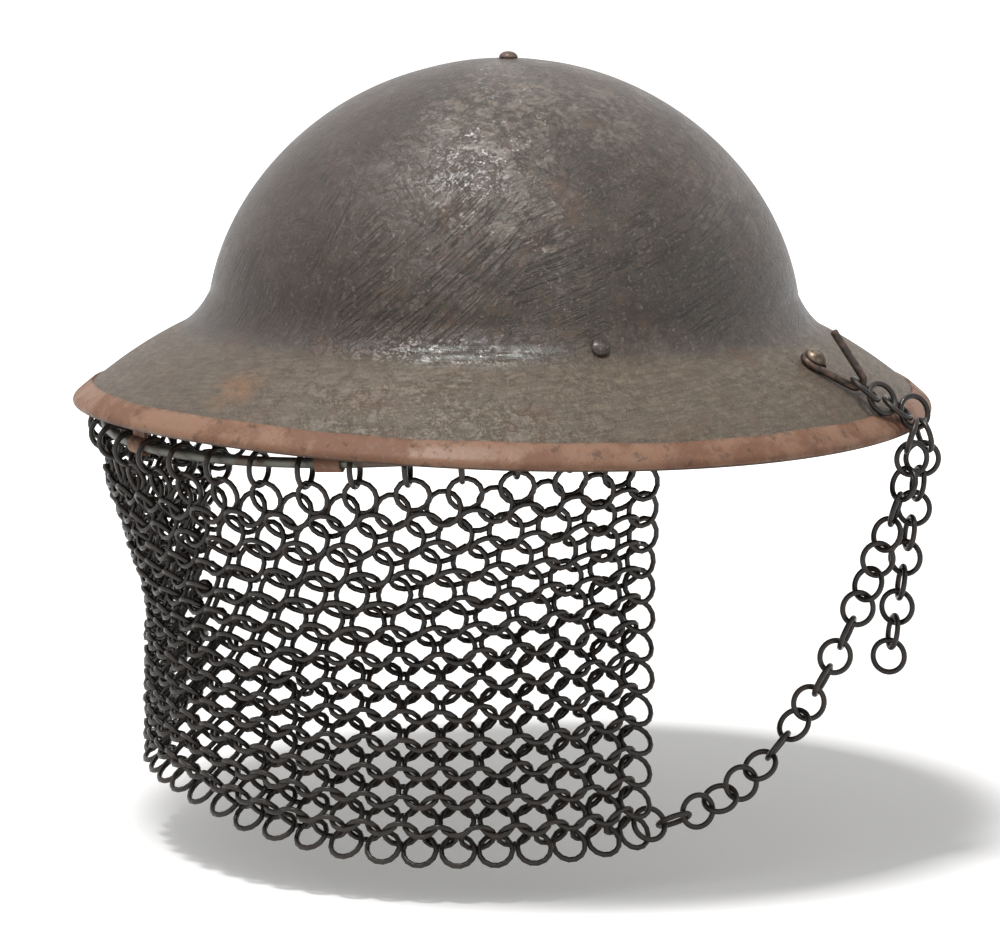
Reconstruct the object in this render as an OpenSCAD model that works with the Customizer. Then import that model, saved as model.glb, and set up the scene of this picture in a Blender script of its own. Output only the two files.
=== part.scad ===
// Steel trench helmet with a mail face curtain.
// The front faces -Y, the wearer's left is +X and up is +Z.
// Shapes are drawn with z = 0 at the level of the brim's edge. The finished part
// is lowered so that its origin lies where the wearer's crown meets the lining.

/* [Shell] */
// Length of the helmet over the rim, front to back
shell_len = 305; // [297:1:313]
// Width of the helmet over the rim
shell_wid = 292; // [284:1:300]
// Height of the crown above the brim's edge
crown_h = 122; // [118:1:126]
// Mean radius of the dome at the brow
dome_r = 103.3; // [101:0.1:105]
// Height of the crease between dome and brim
brow_z = 30; // [28:0.5:32]
// Roundness of the dome, where 2 is an ellipse
dome_power = 1.85; // [1.8:0.01:1.95]
// Fall of the brim where it leaves the dome, per millimetre outwards
brim_slope = 0.5; // [0.47:0.01:0.53]
// Reach of the crease's curve outside the dome
crease_w = 8.7; // [8:0.1:9.4]
// Mean height of the brim's edge in the drawing
brim_edge_z = 0.95; // [0.6:0.05:1.2]
// Rise of the brim at front and back and its fall at the sides
saddle_h = 2.1; // [1.5:0.1:2.6]
// Thickness of the steel shell
wall = 1; // [0.8:0.1:1.2]

/* [Rim band] */
// Thickness of the folded band
band_t = 0.8; // [0.6:0.1:1]
// Reach of the band over the top of the brim
band_top_leg = 6.6; // [5.5:0.1:7.5]
// Reach of the band under the brim
band_low_leg = 5; // [4:0.1:6]
// Room under the brim for the clip tabs
tab_room = 1.3; // [1.2:0.1:1.6]

/* [Lining] */
// Room between the crown of the shell and the wearer's crown
head_room = 30; // [28:1:32]
// Space between the shell and the headband
band_space = 9.6; // [9:0.1:10.4]
// Height of the lower ends of the crossed straps
strap_low_z = 50; // [48:0.5:54]
// Height of the upper edge of the headband
headband_top_z = 62; // [59:0.5:65]
// Thickness of the oilcloth headband
headband_t = 1.4; // [1:0.1:1.8]
// Thickness of the felt behind the headband
felt_t = 1.4; // [1:0.1:1.8]
// Width of the crossed straps
strap_w = 28; // [22:1:32]
// Thickness of the crossed straps
strap_t = 1.5; // [1.2:0.1:1.7]
// Number of rubber buffers
buffer_n = 12; // [8:4:12]
// Diameter of a rubber buffer
buffer_d = 12; // [10:0.5:14]
// Thickness of the rubber crown ring
crown_ring_d = 11; // [9:0.5:12]
// Mean diameter of the rubber crown ring
crown_ring_pcd = 78; // [74:1:84]
// Mean diameter of the drawstring at the top of the lining
drawstring_pcd = 44; // [38:1:50]
// Thickness of the drawstring
drawstring_d = 3; // [2.4:0.1:3.4]
// Thickness of the crown cloth
crown_cloth_t = 1.2; // [1:0.1:1.5]

/* [Rivets] */
// Head diameter of the crown rivet
crown_rivet_head_d = 6.6; // [6:0.1:8]
// Shank diameter of every rivet
rivet_shank_d = 3.8; // [3:0.1:4]
// Clearance round a rivet's shank
rivet_clear = 0.1; // [0.05:0.05:0.2]
// Head diameter of the hook rivet
hook_rivet_head_d = 8.4; // [8:0.1:9]
// Head diameter of the bail rivets
bail_rivet_head_d = 6.4; // [6:0.1:7]
// Diameter of the crown washer
washer_d = 20; // [16:1:24]
// Thickness of the crown washer
washer_t = 0.8; // [0.6:0.1:1]

/* [Bails] */
// Angle of the bails from the front, round the shell
bail_angle = 78; // [72:1:84]
// Distance of the bail rivets outside the foot of the dome
bail_out = 3.5; // [2.9:0.1:4.1]
// Wire of the bail loops
bail_wire_d = 2.4; // [2:0.1:2.8]
// Width of a bail loop between its wire centres
bail_w = 20; // [18:0.5:24]
// Drop of a bail loop below its hinge
bail_drop = 13; // [11:0.5:14]

/* [Rod] */
// Distance of the rod's side ends inside the rim's widest line
rod_side_in = 19.8; // [18.5:0.1:21.5]
// Wire of the visor rod
rod_d = 3.6; // [3:0.1:4]
// Distance of the rod's middle behind the front of the rim
rod_front_in = 10.2; // [9.4:0.1:11.2]
// Height of the rod at the front, relative to the brim's edge
rod_front_z = -6.4; // [-7:0.1:-5.8]
// Drop of the rod's last hangers below the brim's underside
rod_end_drop = 8.24; // [7.6:0.01:8.9]
// Half of the angle that the rod spans
rod_half = 87; // [86.5:0.5:88]
// Angle of the side clips from the front
clip_angle = 40; // [38.5:0.5:41.5]
// Angle of the end clips from the front
clip_end_angle = 80; // [78.5:0.5:81.5]
// Width of a clip along the rod
clip_w = 9; // [7:0.5:11]
// Thickness of a clip's sheet
clip_t = 1; // [0.8:0.1:1.2]

/* [Mail] */
// Outer diameter of a mail ring
ring_od = 12.4; // [12:0.1:12.8]
// Wire of a mail ring
ring_wire = 1.5; // [1.3:0.1:1.6]
// Angle between neighbouring hanger rings
ring_step = 8; // [7.8:0.05:8.1]
// Tilt of the curtain's lower rows, rising to the back
mail_tilt = 9; // [8:0.1:9.6]
// Depth of the curtain's lower edge at its right end
mail_drop = 122; // [112:1:126]
// Growth of that depth from column to column
mail_droop = 2.05; // [1.8:0.01:2.2]
// Fall of the lower edge from column to column on the other side
mail_rise = 0.9; // [0.7:0.01:1.1]
// How far the curtain's lower edge is drawn in from the rod's curve
mail_draw_in = 21.2; // [19.2:0.1:23.2]
// How far the lower edge's centre lies in front of the rod's
mail_fwd = 2.9; // [2:0.1:4]
// Depth over which the curtain leaves the rod's curve
mail_blend_h = 75; // [70:1:80]
// Turn of the curtain's lower edge towards the wearer's left
mail_turn = 20.2; // [18:0.1:21]
// Angle between columns at the lower edge
mail_low_step = 6.93; // [6.8:0.01:7]
// Thickness of the mail sheet
mail_t = 2; // [1.6:0.1:2.4]
// Gap between neighbouring strips of mail
strip_gap = 0.6; // [0.5:0.1:0.9]
// Open share of a mesh, from its middle to its side
mesh_open = 0.72; // [0.62:0.01:0.78]

/* [Hook and chain] */
// Angle of the hook from the front, round the brim
hook_angle = 120; // [117:0.5:123]
// Place of the hook's rivet, as a share of the brim's width from the crease
hook_share = 0.2336; // [0.19:0.0001:0.265]
// Turn of the hook from straight outwards, towards the back
hook_turn = 27; // [24:0.5:30]
// Wire of the hook
hook_wire_d = 2.7; // [2.4:0.1:2.8]
// Distance from the rivet to the hook's bend, as a share of the brim's width
hook_reach_share = 0.4027; // [0.376:0.0001:0.429]
// Radius of the hook's bend
hook_bend_r = 2.7; // [2.6:0.1:3]
// Turn of the hook's wire in its bend
hook_bend_turn = 150; // [140:1:160]
// Length of the hook's free leg, as a share of the brim's width
hook_leg_share = 0.5101; // [0.43:0.0001:0.59]
// Play between neighbouring chain rings
chain_slack = 0.32; // [0.28:0.01:0.38]
// Run of the chain over the brim, from the hook's bend to the rim
chain_run = 20.33; // [19.6:0.01:21]
// Number of rings in the hanging strand
strand_n = 19; // [17:1:19]
// Number of rings in the spare tail
tail_n = 9; // [6:1:10]

/* [Hidden] */
$fn = 48;

function lerp(a, b, t) = a + (b - a) * t;
function smooth(t) = let(c = min(1, max(0, t))) c * c * (3 - 2 * c);
function unit(v) = v / norm(v);

// Plan of the helmet
edge_r = (shell_len + shell_wid) / 4;
plan_x = shell_wid / 2 / edge_r;
plan_y = shell_len / 2 / edge_r;
dome_end = dome_r - 0.8;
brim_start = dome_r + crease_w;
band_fold = band_t + (wall + tab_room + 0.1) / 2;
band_over = 0.73 * band_fold;
shell_edge_r = edge_r - band_over;

// Outer profile of the shell, as height over mean radius
function dome_z(r) =
    brow_z + (crown_h - brow_z) * pow(1 - pow(r / dome_r, 2), 1 / dome_power);
brim_top_z = brow_z - 2.5;
// The brim steepens so that its edge keeps its height
brim_run = edge_r - brim_start;
brim_curve = (brim_top_z - brim_edge_z - brim_slope * brim_run) / (brim_run * brim_run);
function fillet_z(u) =
    dome_z(dome_end) * pow(1 - u, 3)
    + 3 * (brow_z + 3) * u * pow(1 - u, 2)
    + 3 * brow_z * u * u * (1 - u)
    + brim_top_z * pow(u, 3);
function brim_z(d) = brim_top_z - brim_slope * d - brim_curve * d * d;
function profile_z(r) =
    r <= dome_end ? dome_z(r)
    : r < brim_start ? fillet_z((r - dome_end) / (brim_start - dome_end))
    : brim_z(r - brim_start);
// Columns of the mail, which set the places of the hangers
columns = 22;
mid_col = (columns - 1) / 2;
// Places on the shell that other pieces share
head_seat_h = crown_h - head_room;
bail_r = dome_r + bail_out;
hook_r = brim_start + hook_share * brim_run;
hook_reach = hook_reach_share * brim_run;
hook_leg = hook_leg_share * brim_run;
function slope(r) = (profile_z(r + 0.05) - profile_z(max(r - 0.05, 0))) / 0.1;
function saddle(r, phi) = saddle_h * cos(2 * phi) * pow(r / edge_r, 4);

// Point at mean radius r and angle phi from the front, off outside the surface
function on_shell(r, phi, off = 0) =
    let(m = slope(r), q = sqrt(1 + m * m), rr = r - off * m / q)
    [plan_x * rr * sin(phi), -plan_y * rr * cos(phi),
     profile_z(r) + off / q + saddle(r, phi)];
function mean_r(p) = norm([p[0] / plan_x, p[1] / plan_y]);
function mean_phi(p) = atan2(p[0] / plan_x, -p[1] / plan_y);
function out_dir(r, phi) = unit(on_shell(r + 0.2, phi) - on_shell(r - 0.2, phi));
function up_dir(r, phi) =
    unit(cross(out_dir(r, phi), on_shell(r, phi + 0.2) - on_shell(r, phi - 0.2)));

// Places children on the shell: X runs outwards along it and Z stands on it
module on_surface(r, phi) {
    x = out_dir(r, phi);
    z = up_dir(r, phi);
    y = cross(z, x);
    p = on_shell(r, phi);
    multmatrix([[x[0], y[0], z[0], p[0]],
                [x[1], y[1], z[1], p[1]],
                [x[2], y[2], z[2], p[2]]])
        children();
}

// Closed skin between two grids of points, outside first. loop joins the columns
module skin(outer, inner, loop) {
    rows = len(outer);
    cols = len(outer[0]);
    last = loop ? cols - 1 : cols - 2;
    half = rows * cols;
    function at(i, j) = i * cols + (j % cols);
    points = concat([for (row = outer) each row], [for (row = inner) each row]);
    faces = concat(
        [for (i = [0:rows - 2], j = [0:last]) each [
            [at(i, j), at(i, j + 1), at(i + 1, j + 1)],
            [at(i, j), at(i + 1, j + 1), at(i + 1, j)],
            [half + at(i, j), half + at(i + 1, j + 1), half + at(i, j + 1)],
            [half + at(i, j), half + at(i + 1, j), half + at(i + 1, j + 1)]]],
        [for (j = [0:last]) each [
            [at(0, j), half + at(0, j), half + at(0, j + 1)],
            [at(0, j), half + at(0, j + 1), at(0, j + 1)],
            [at(rows - 1, j), half + at(rows - 1, j + 1), half + at(rows - 1, j)],
            [at(rows - 1, j), at(rows - 1, j + 1), half + at(rows - 1, j + 1)]]],
        loop ? [] : [for (i = [0:rows - 2]) each [
            [at(i, 0), at(i + 1, 0), half + at(i + 1, 0)],
            [at(i, 0), half + at(i + 1, 0), half + at(i, 0)],
            [at(i, cols - 1), half + at(i + 1, cols - 1), at(i + 1, cols - 1)],
            [at(i, cols - 1), half + at(i, cols - 1), half + at(i + 1, cols - 1)]]]);
    polyhedron(points, faces, convexity = 6);
}

// Closed tube through rings of points, joined end to end
module closed_tube(rings) {
    n = len(rings);
    m = len(rings[0]);
    points = [for (ring = rings) each ring];
    faces = [for (i = [0:n - 1], j = [0:m - 1])
        let(a = i * m + j, b = i * m + (j + 1) % m,
            c = ((i + 1) % n) * m + (j + 1) % m, d = ((i + 1) % n) * m + j)
        each [[a, b, c], [a, c, d]]];
    polyhedron(points, faces, convexity = 6);
}

// Rivet along Z: domed head above 0, shank down and a set tail below
module rivet(head_d, head_h, grip, tail_d) {
    rotate_extrude() polygon(concat(
        [[0, -grip - 1.4], [tail_d / 2 - 0.4, -grip - 1.4], [tail_d / 2, -grip - 0.9],
         [tail_d / 2, -grip], [rivet_shank_d / 2, -grip], [rivet_shank_d / 2, 0.05],
         [head_d / 2, 0.05]],
        [for (a = [0:15:90]) [head_d / 2 * cos(a), 0.3 + (head_h - 0.3) * sin(a)]]));
}
module rivet_hole() {
    cylinder(r = rivet_shank_d / 2 + rivet_clear, h = 12, center = true);
}

module shell() color("#4a473d") {
    cols = 60;
    radii = concat(
        [rivet_shank_d / 4],
        [for (a = [9, 18, 28, 38, 48, 57, 65, 72, 78]) dome_r * sin(a)],
        [dome_end],
        [for (u = [0.2, 0.42, 0.68]) lerp(dome_end, brim_start, u)],
        [for (u = [0:1 / 6:1]) lerp(brim_start, shell_edge_r, u)]);
    outer = [for (r = radii) [for (j = [0:cols - 1]) on_shell(r, -j * 360 / cols)]];
    inner = [for (r = radii) [for (j = [0:cols - 1]) on_shell(r, -j * 360 / cols, -wall)]];
    difference() {
        skin(outer, inner, true);
        translate([0, 0, crown_h]) rivet_hole();
        on_surface(bail_r, bail_angle) rivet_hole();
        on_surface(bail_r, -bail_angle) rivet_hole();
        on_surface(hook_r, hook_angle) rivet_hole();
    }
}

// Folded band: one leg over the brim, one under it with the clip tabs between
band_gap = 0.1;
fold_mid = (band_gap - wall - tab_room) / 2;
fold_in = (band_gap + wall + tab_room) / 2;
function fold_point(a, rad, phi) =
    on_shell(shell_edge_r + 0.2 + rad * sin(a), phi, fold_mid + rad * cos(a));
function band_ring(phi) = concat(
    [on_shell(edge_r - band_top_leg, phi, fold_mid + fold_in + band_t),
     on_shell(edge_r - band_top_leg / 2, phi, fold_mid + fold_in + band_t)],
    [for (a = [0:30:180]) fold_point(a, fold_in + band_t, phi)],
    [on_shell(edge_r - band_low_leg, phi, fold_mid - fold_in - band_t),
     on_shell(edge_r - band_low_leg, phi, fold_mid - fold_in)],
    [for (a = [180:-60:0]) fold_point(a, fold_in * 0.9, phi)],
    [on_shell(edge_r - band_top_leg, phi, fold_mid + fold_in)]);
module rim_band() color("#8a5f4c") {
    cols = 60;
    closed_tube([for (j = [0:cols - 1]) band_ring(j * 360 / cols)]);
}

module crown_rivet() color("#5c4a3a") {
    translate([0, 0, crown_h])
        rivet(crown_rivet_head_d, 2.4, wall + 2 * strap_t + washer_t + 2.4, 7);
}
// The crown stack hangs from the rivet: shell, straps, washer
stack_z = crown_h - wall;
module crown_washer() color("#77705f") {
    translate([0, 0, stack_z - 2 * strap_t - 2.2 - washer_t])
        difference() {
            cylinder(d = washer_d, h = washer_t);
            translate([0, 0, -1])
                cylinder(r = rivet_shank_d / 2 + rivet_clear, h = washer_t + 2);
        }
}

// Crossed straps over the crown, hugging the dome and drawn in to the headband
function drawn_in(z) = smooth((headband_top_z + 22 - z) / 26);
function strap_point(x, y, depth, band_depth) =
    let(r = norm([x, y]), m = slope(r), q = sqrt(1 + m * m), z = profile_z(r),
        off = -lerp(depth, band_depth, drawn_in(z)), k = 1 - off * m / q / max(r, 1))
    [plan_x * x * k, plan_y * y * k, z + off / q];
module strap(depth, along_y) {
    steps = 9;
    end_a = asin(pow(1 - pow((strap_low_z - brow_z) / (crown_h - brow_z), dome_power), 0.5));
    in_depth = wall + band_space - felt_t - 0.3;
    function place(u, v, d, e) =
        along_y ? strap_point(v, dome_r * sin(u), d, e) : strap_point(dome_r * sin(u), v, d, e);
    outer = [for (i = [-steps:steps]) [for (j = [-1:1])
        place(i / steps * end_a, (along_y ? -j : j) * strap_w / 2, depth, in_depth - strap_t)]];
    inner = [for (i = [-steps:steps]) [for (j = [-1:1])
        place(i / steps * end_a, (along_y ? -j : j) * strap_w / 2, depth + strap_t, in_depth)]];
    difference() {
        skin(outer, inner, false);
        translate([0, 0, crown_h]) rivet_hole();
    }
}
module strap_cross() color("#6b6250") strap(wall + 0.4, false);
module strap_long() color("#6b6250") strap(wall + 0.7 + strap_t, true);

// Lining band between two heights, at a depth under the shell's outer surface
function dome_radius(z) =
    dome_r * sqrt(1 - pow((z - brow_z) / (crown_h - brow_z), dome_power));
module lining_band(low_z, top_z, depth, thick) {
    cols = 48;
    rows = 3;
    function row(i, d) = let(r = dome_radius(lerp(top_z, low_z, i / rows)))
        [for (j = [0:cols - 1]) on_shell(min(r, dome_end), -j * 360 / cols, -d)];
    skin([for (i = [0:rows]) row(i, depth)], [for (i = [0:rows]) row(i, depth + thick)], true);
}
band_depth = wall + band_space;
low_fit_z = dome_z(dome_end);
module headband() color("#2b2723") {
    lining_band(low_fit_z, headband_top_z, band_depth + 0.3, headband_t);
}
module headband_felt() color("#8b8577") {
    lining_band(low_fit_z, headband_top_z - 2, band_depth - felt_t, felt_t);
}
module rubber_buffers() color("#3a3733") {
    buffer_z = (low_fit_z + headband_top_z) / 2 - 2;
    length = band_depth - felt_t - wall - 0.8;
    for (k = [0:buffer_n - 1])
        on_surface(dome_radius(buffer_z), (k + 0.5) * 360 / buffer_n)
            translate([0, 0, -wall - 0.4 - length])
                cylinder(d = buffer_d, h = length);
}

// Crown cloth from the headband up to the drawstring
drawstring_z = head_seat_h - 1;
cloth_low_r = dome_radius(headband_top_z) - band_depth - headband_t / 2;
cloth_low_z = headband_top_z + 1.5;
cloth_top_r = drawstring_pcd / 2;
cloth_rise = drawstring_z + drawstring_d / 2 + 0.3 - cloth_low_z;
module crown_cloth() {
    cols = 48;
    rows = 5;
    function pt(i, j, d) = let(a = 90 * i / rows, t = sin(a), f = -j * 360 / cols,
        r = lerp(cloth_top_r, cloth_low_r, cos(a)) + d * cos(a),
        kx = lerp(plan_x, 1, t), ky = lerp(plan_y, 1, t))
        [kx * r * sin(f), -ky * r * cos(f), cloth_low_z + (cloth_rise + d) * t];
    color("#6a6458")
        skin([for (i = [rows:-1:0]) [for (j = [0:cols - 1]) pt(i, j, crown_cloth_t)]],
             [for (i = [rows:-1:0]) [for (j = [0:cols - 1]) pt(i, j, 0)]], true);
}
// Rubber ring that lies on the crown cloth, under the crossed straps
ring_seat_gap = 0.2;
cloth_share = sqrt(1 - pow((crown_ring_pcd / 2 - cloth_top_r) / (cloth_low_r - cloth_top_r), 2));
crown_ring_z = cloth_low_z + (cloth_rise + crown_cloth_t) * cloth_share
    + crown_ring_d / 2 + ring_seat_gap;
module crown_ring() color("#3a3733") {
    translate([0, 0, crown_ring_z])
        rotate_extrude($fn = 72) translate([crown_ring_pcd / 2, 0]) circle(d = crown_ring_d);
}
module drawstring() color("#b8a988") {
    translate([0, 0, drawstring_z])
        rotate_extrude($fn = 72) translate([drawstring_pcd / 2 + 2, 0]) circle(d = drawstring_d);
}

// Bails: a rivet through the shell, a folded lug under it and a wire loop
lug_t = 1.2;
lug_w = 9;
lug_gap = 0.2;
lug_half = 4.5;
lug_drop = 4;
// The shell curves up round the rivet's flat head, which stands clear of the crease
head_lift = 0.4;
module bail_rivet(side) color("#5b5345")
    on_surface(bail_r, side * bail_angle) translate([0, 0, head_lift])
        rivet(bail_rivet_head_d, 2, wall + lug_gap + lug_t + 0.2 + head_lift, 5.6);

// Places children at a bail's rivet: X runs level outwards and Z is up
module at_bail(side) {
    out = out_dir(bail_r, side * bail_angle);
    translate(on_shell(bail_r, side * bail_angle)) rotate([0, 0, atan2(out[1], out[0])])
        children();
}
// Hinge line of the loop, under the outer end of the lug's plate
lug_tilt = atan(slope(bail_r));
lug_depth = wall + lug_gap + lug_t / 2;
eye_x = lug_half * cos(lug_tilt) + lug_depth * sin(lug_tilt);
eye_z = lug_half * sin(lug_tilt) - lug_depth * cos(lug_tilt) - lug_drop;
eye_in = bail_wire_d / 2 + 0.1;
module bail_lug(side) color("#5b5345") {
    difference() {
        at_bail(side) rotate([90, 0, 0]) linear_extrude(lug_w, center = true) difference() {
            union() {
                rotate(lug_tilt) translate([-lug_half, -lug_depth - lug_t / 2])
                    square([2 * lug_half, lug_t]);
                translate([eye_x - lug_t / 2, eye_z]) square([lug_t, lug_drop + 0.3]);
                translate([eye_x, eye_z]) circle(r = eye_in + 1);
            }
            translate([eye_x, eye_z]) circle(r = eye_in);
        }
        on_surface(bail_r, side * bail_angle) rivet_hole();
    }
}
module bail(side) color("#4b443a") at_bail(side) translate([eye_x, 0, eye_z]) {
    wire = bail_wire_d / 2;
    corner = 3;
    rotate([90, 0, 0]) cylinder(r = wire, h = bail_w - 2 * corner, center = true);
    for (s = [-1, 1]) {
        translate([0, s * (bail_w / 2 - corner), -corner]) rotate([0, 90, 0])
            rotate([0, 0, s > 0 ? 90 : 180]) rotate_extrude(angle = 90)
                translate([corner, 0]) circle(r = wire);
        translate([0, s * (bail_w / 2 - corner), corner - bail_drop]) rotate([0, 90, 0])
            rotate([0, 0, s > 0 ? 0 : 270]) rotate_extrude(angle = 90)
                translate([corner, 0]) circle(r = wire);
        translate([0, s * bail_w / 2, corner - bail_drop])
            cylinder(r = wire, h = bail_drop - 2 * corner);
    }
    translate([0, 0, -bail_drop])
        rotate([90, 0, 0]) cylinder(r = wire, h = bail_w - 2 * corner, center = true);
}

// Visor rod: part of a circle in a plane that rises to the back, under the brim
rod_r = shell_wid / 2 - rod_side_in;
rod_fwd = shell_len / 2 - rod_front_in - rod_r;
rod_end_phi = mid_col * ring_step;
rod_end = [rod_r * sin(rod_end_phi), -rod_fwd - rod_r * cos(rod_end_phi)];
rod_end_under = on_shell(mean_r(rod_end), mean_phi(rod_end), -wall)[2];
rod_tilt = asin((rod_end_under - rod_end_drop - rod_front_z) / (rod_r * (1 - cos(rod_end_phi))));
rod_mid = [0, -rod_fwd, rod_front_z + rod_r * sin(rod_tilt)];
function rod_out(phi) = [sin(phi), -cos(phi) * cos(rod_tilt), -cos(phi) * sin(rod_tilt)];
function rod_along(phi) = [cos(phi), sin(phi) * cos(rod_tilt), sin(phi) * sin(rod_tilt)];
function rod_point(phi) = rod_mid + rod_r * rod_out(phi);
function tilt_z(phi, tilt) = rod_front_z + rod_r * sin(tilt) * (1 - cos(phi));
module visor_rod() color("#3c3a36") {
    translate(rod_mid) rotate([rod_tilt, 0, 0]) rotate([0, 0, -90 - rod_half])
        rotate_extrude(angle = 2 * rod_half, $fn = 120)
            translate([rod_r, 0]) circle(d = rod_d);
}

// Places children on the rod: X points along it and Z points up
module on_rod(phi, drop = 0) {
    x = rod_along(phi);
    y = unit(cross([0, 0, 1], x));
    z = cross(x, y);
    p = rod_point(phi) - [0, 0, drop];
    multmatrix([[x[0], y[0], z[0], p[0]],
                [x[1], y[1], z[1], p[1]],
                [x[2], y[2], z[2], p[2]]])
        children();
}

// Clips: a collar round the rod and a tab held in the fold of the rim band
tab_r = edge_r - 4.2;
function reach(p, dir, t, n) = n == 0 ? t : reach(p, dir, t + tab_r - mean_r(p + dir * t), n - 1);
module rod_clip(phi) {
    p = rod_point(phi);
    dir = [sin(phi), -cos(phi), 0];
    t = reach(p, dir, 8, 5);
    q = p + dir * t;
    brim_phi = mean_phi(q);
    under = -wall - tab_room / 2 - 0.05;
    tip = on_shell(tab_r, brim_phi, under);
    root = on_shell(tab_r - 3.6, brim_phi, under - 0.5);
    line = [[0, 0], [norm([root[0] - p[0], root[1] - p[1]]), root[2] - p[2]],
            [norm([tip[0] - p[0], tip[1] - p[1]]), tip[2] - p[2]]];
    collar = rod_d / 2 + 0.3;
    difference() {
        union() {
            on_rod(phi) rotate([0, 90, 0]) cylinder(r = collar + clip_t, h = clip_w, center = true);
            translate(p) rotate([0, 0, atan2(dir[1], dir[0])]) rotate([90, 0, 0])
                translate([0, 0, -clip_w / 2]) linear_extrude(clip_w)
                    for (k = [0:1])
                        let(a = line[k], b = line[k + 1], w = unit([a[1] - b[1], b[0] - a[0]]))
                        polygon([a - w * clip_t / 2, b - w * clip_t / 2,
                                 b + w * clip_t / 2, a + w * clip_t / 2]);
        }
        on_rod(phi) rotate([0, 90, 0]) cylinder(r = collar, h = clip_w + 6, center = true);
    }
}
module rod_clips() color("#9a6a50") {
    for (phi = [-clip_end_angle, -clip_angle, 0, clip_angle, clip_end_angle]) rod_clip(phi);
}

// Mail curtain: s counts columns from the wearer's right and h is depth under the rod
mail_rows = 13;
mail_low_r = rod_r - mail_draw_in;
low_fwd = rod_fwd + mail_fwd;
low_col = 8;
hanger_clear = 0.4;
hanger_drop = ring_od / 2 - ring_wire - rod_d / 2 - hanger_clear;
mail_gap = 0.6;
mail_top = hanger_drop + ring_od / 2 + mail_gap;
function mail_point(s, h) =
    let(w = smooth(h / mail_blend_h), a = (s - mid_col) * ring_step,
        phi = lerp(a, mail_turn + (s - mid_col) * mail_low_step, w),
        r = lerp(rod_r, mail_low_r, w), squash = lerp(cos(rod_tilt), 1, w))
    [r * sin(phi), -lerp(rod_fwd, low_fwd, w) - r * squash * cos(phi),
     lerp(tilt_z(a, rod_tilt), tilt_z(a, mail_tilt), w) - h];
function mail_h(s, k) =
    lerp(mail_top,
         mail_drop + (s > low_col ? mail_droop * (s - low_col) : mail_rise * (low_col - s)),
         k / mail_rows);
function mail_normal(s, h) =
    unit(cross(mail_point(s + 0.1, h) - mail_point(s - 0.1, h),
               mail_point(s, h + 1) - mail_point(s, h - 1)));
strip_first = [0, 3, 6, 9, 13, 16, 19, 22];

// One strip: every mesh has a diamond opening between four solid corners
module mail_strip(i) {
    first = strip_first[i - 1];
    count = strip_first[i] - first;
    nc = count + 1;
    nr = mail_rows + 1;
    function col(j) = first - 0.5 + j
        + (j == 0 ? 1 : j == count ? -1 : 0) * strip_gap / 2 / (rod_r * ring_step / 57.3);
    function spot(j, k, side) = let(s = col(j), h = mail_h(s, k))
        mail_point(s, h) + mail_normal(s, h) * side * mail_t / 2;
    corners = [for (side = [1, -1]) each [for (k = [0:nr - 1]) each
        [for (j = [0:count]) spot(j, k, side)]]];
    function mid(j, k, side) =
        (spot(j, k, side) + spot(j + 1, k, side) + spot(j, k + 1, side) + spot(j + 1, k + 1, side)) / 4;
    function tip(j, k, e, side) =
        let(a = e == 0 ? [j, k] : e == 1 ? [j + 1, k] : e == 2 ? [j + 1, k + 1] : [j, k + 1],
            b = e == 0 ? [j + 1, k] : e == 1 ? [j + 1, k + 1] : e == 2 ? [j, k + 1] : [j, k])
        lerp(mid(j, k, side), (spot(a[0], a[1], side) + spot(b[0], b[1], side)) / 2, mesh_open);
    tips = [for (side = [1, -1]) each [for (k = [0:mail_rows - 1]) each [for (j = [0:count - 1])
        each [for (e = [0:3]) tip(j, k, e, side)]]]];
    half = nr * nc;
    base = 2 * half;
    tip_half = 4 * mail_rows * count;
    function c(j, k, side) = side * half + k * nc + j;
    function d(j, k, e, side) = base + side * tip_half + 4 * (k * count + j) + (e % 4);
    function ring(j, k, side) =
        [c(j, k, side), c(j + 1, k, side), c(j + 1, k + 1, side), c(j, k + 1, side)];
    function turn(f, side) = side == 0 ? f : [f[2], f[1], f[0]];
    faces = concat(
        [for (side = [0, 1], k = [0:mail_rows - 1], j = [0:count - 1], e = [0:3])
            let(q = ring(j, k, side), a = q[e], b = q[(e + 1) % 4])
            each [turn([a, b, d(j, k, e, side)], side),
                  turn([b, d(j, k, e + 1, side), d(j, k, e, side)], side)]],
        [for (k = [0:mail_rows - 1], j = [0:count - 1], e = [0:3])
            let(a = d(j, k, e, 0), b = d(j, k, e + 1, 0), f = d(j, k, e + 1, 1), g = d(j, k, e, 1))
            each [[a, b, f], [a, f, g]]],
        [for (j = [0:count - 1]) each [
            [c(j + 1, 0, 0), c(j, 0, 0), c(j, 0, 1)],
            [c(j + 1, 0, 0), c(j, 0, 1), c(j + 1, 0, 1)],
            [c(j, nr - 1, 0), c(j + 1, nr - 1, 0), c(j, nr - 1, 1)],
            [c(j + 1, nr - 1, 0), c(j + 1, nr - 1, 1), c(j, nr - 1, 1)]]],
        [for (k = [0:mail_rows - 1]) each [
            [c(0, k, 0), c(0, k + 1, 0), c(0, k, 1)],
            [c(0, k + 1, 0), c(0, k + 1, 1), c(0, k, 1)],
            [c(count, k + 1, 0), c(count, k, 0), c(count, k, 1)],
            [c(count, k + 1, 0), c(count, k, 1), c(count, k + 1, 1)]]]);
    color("#37332f") polyhedron(concat(corners, tips), faces, convexity = 10);
}

// Rings: the normal of a ring is its Z
module wire_ring() {
    rotate_extrude($fn = 48) translate([(ring_od - ring_wire) / 2, 0]) circle(d = ring_wire, $fn = 20);
}
module hangers(i) color("#37332f") {
    for (s = [strip_first[i - 1]:strip_first[i] - 1])
        on_rod((s - mid_col) * ring_step, hanger_drop) rotate([0, 90, 0]) wire_ring();
}

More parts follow.
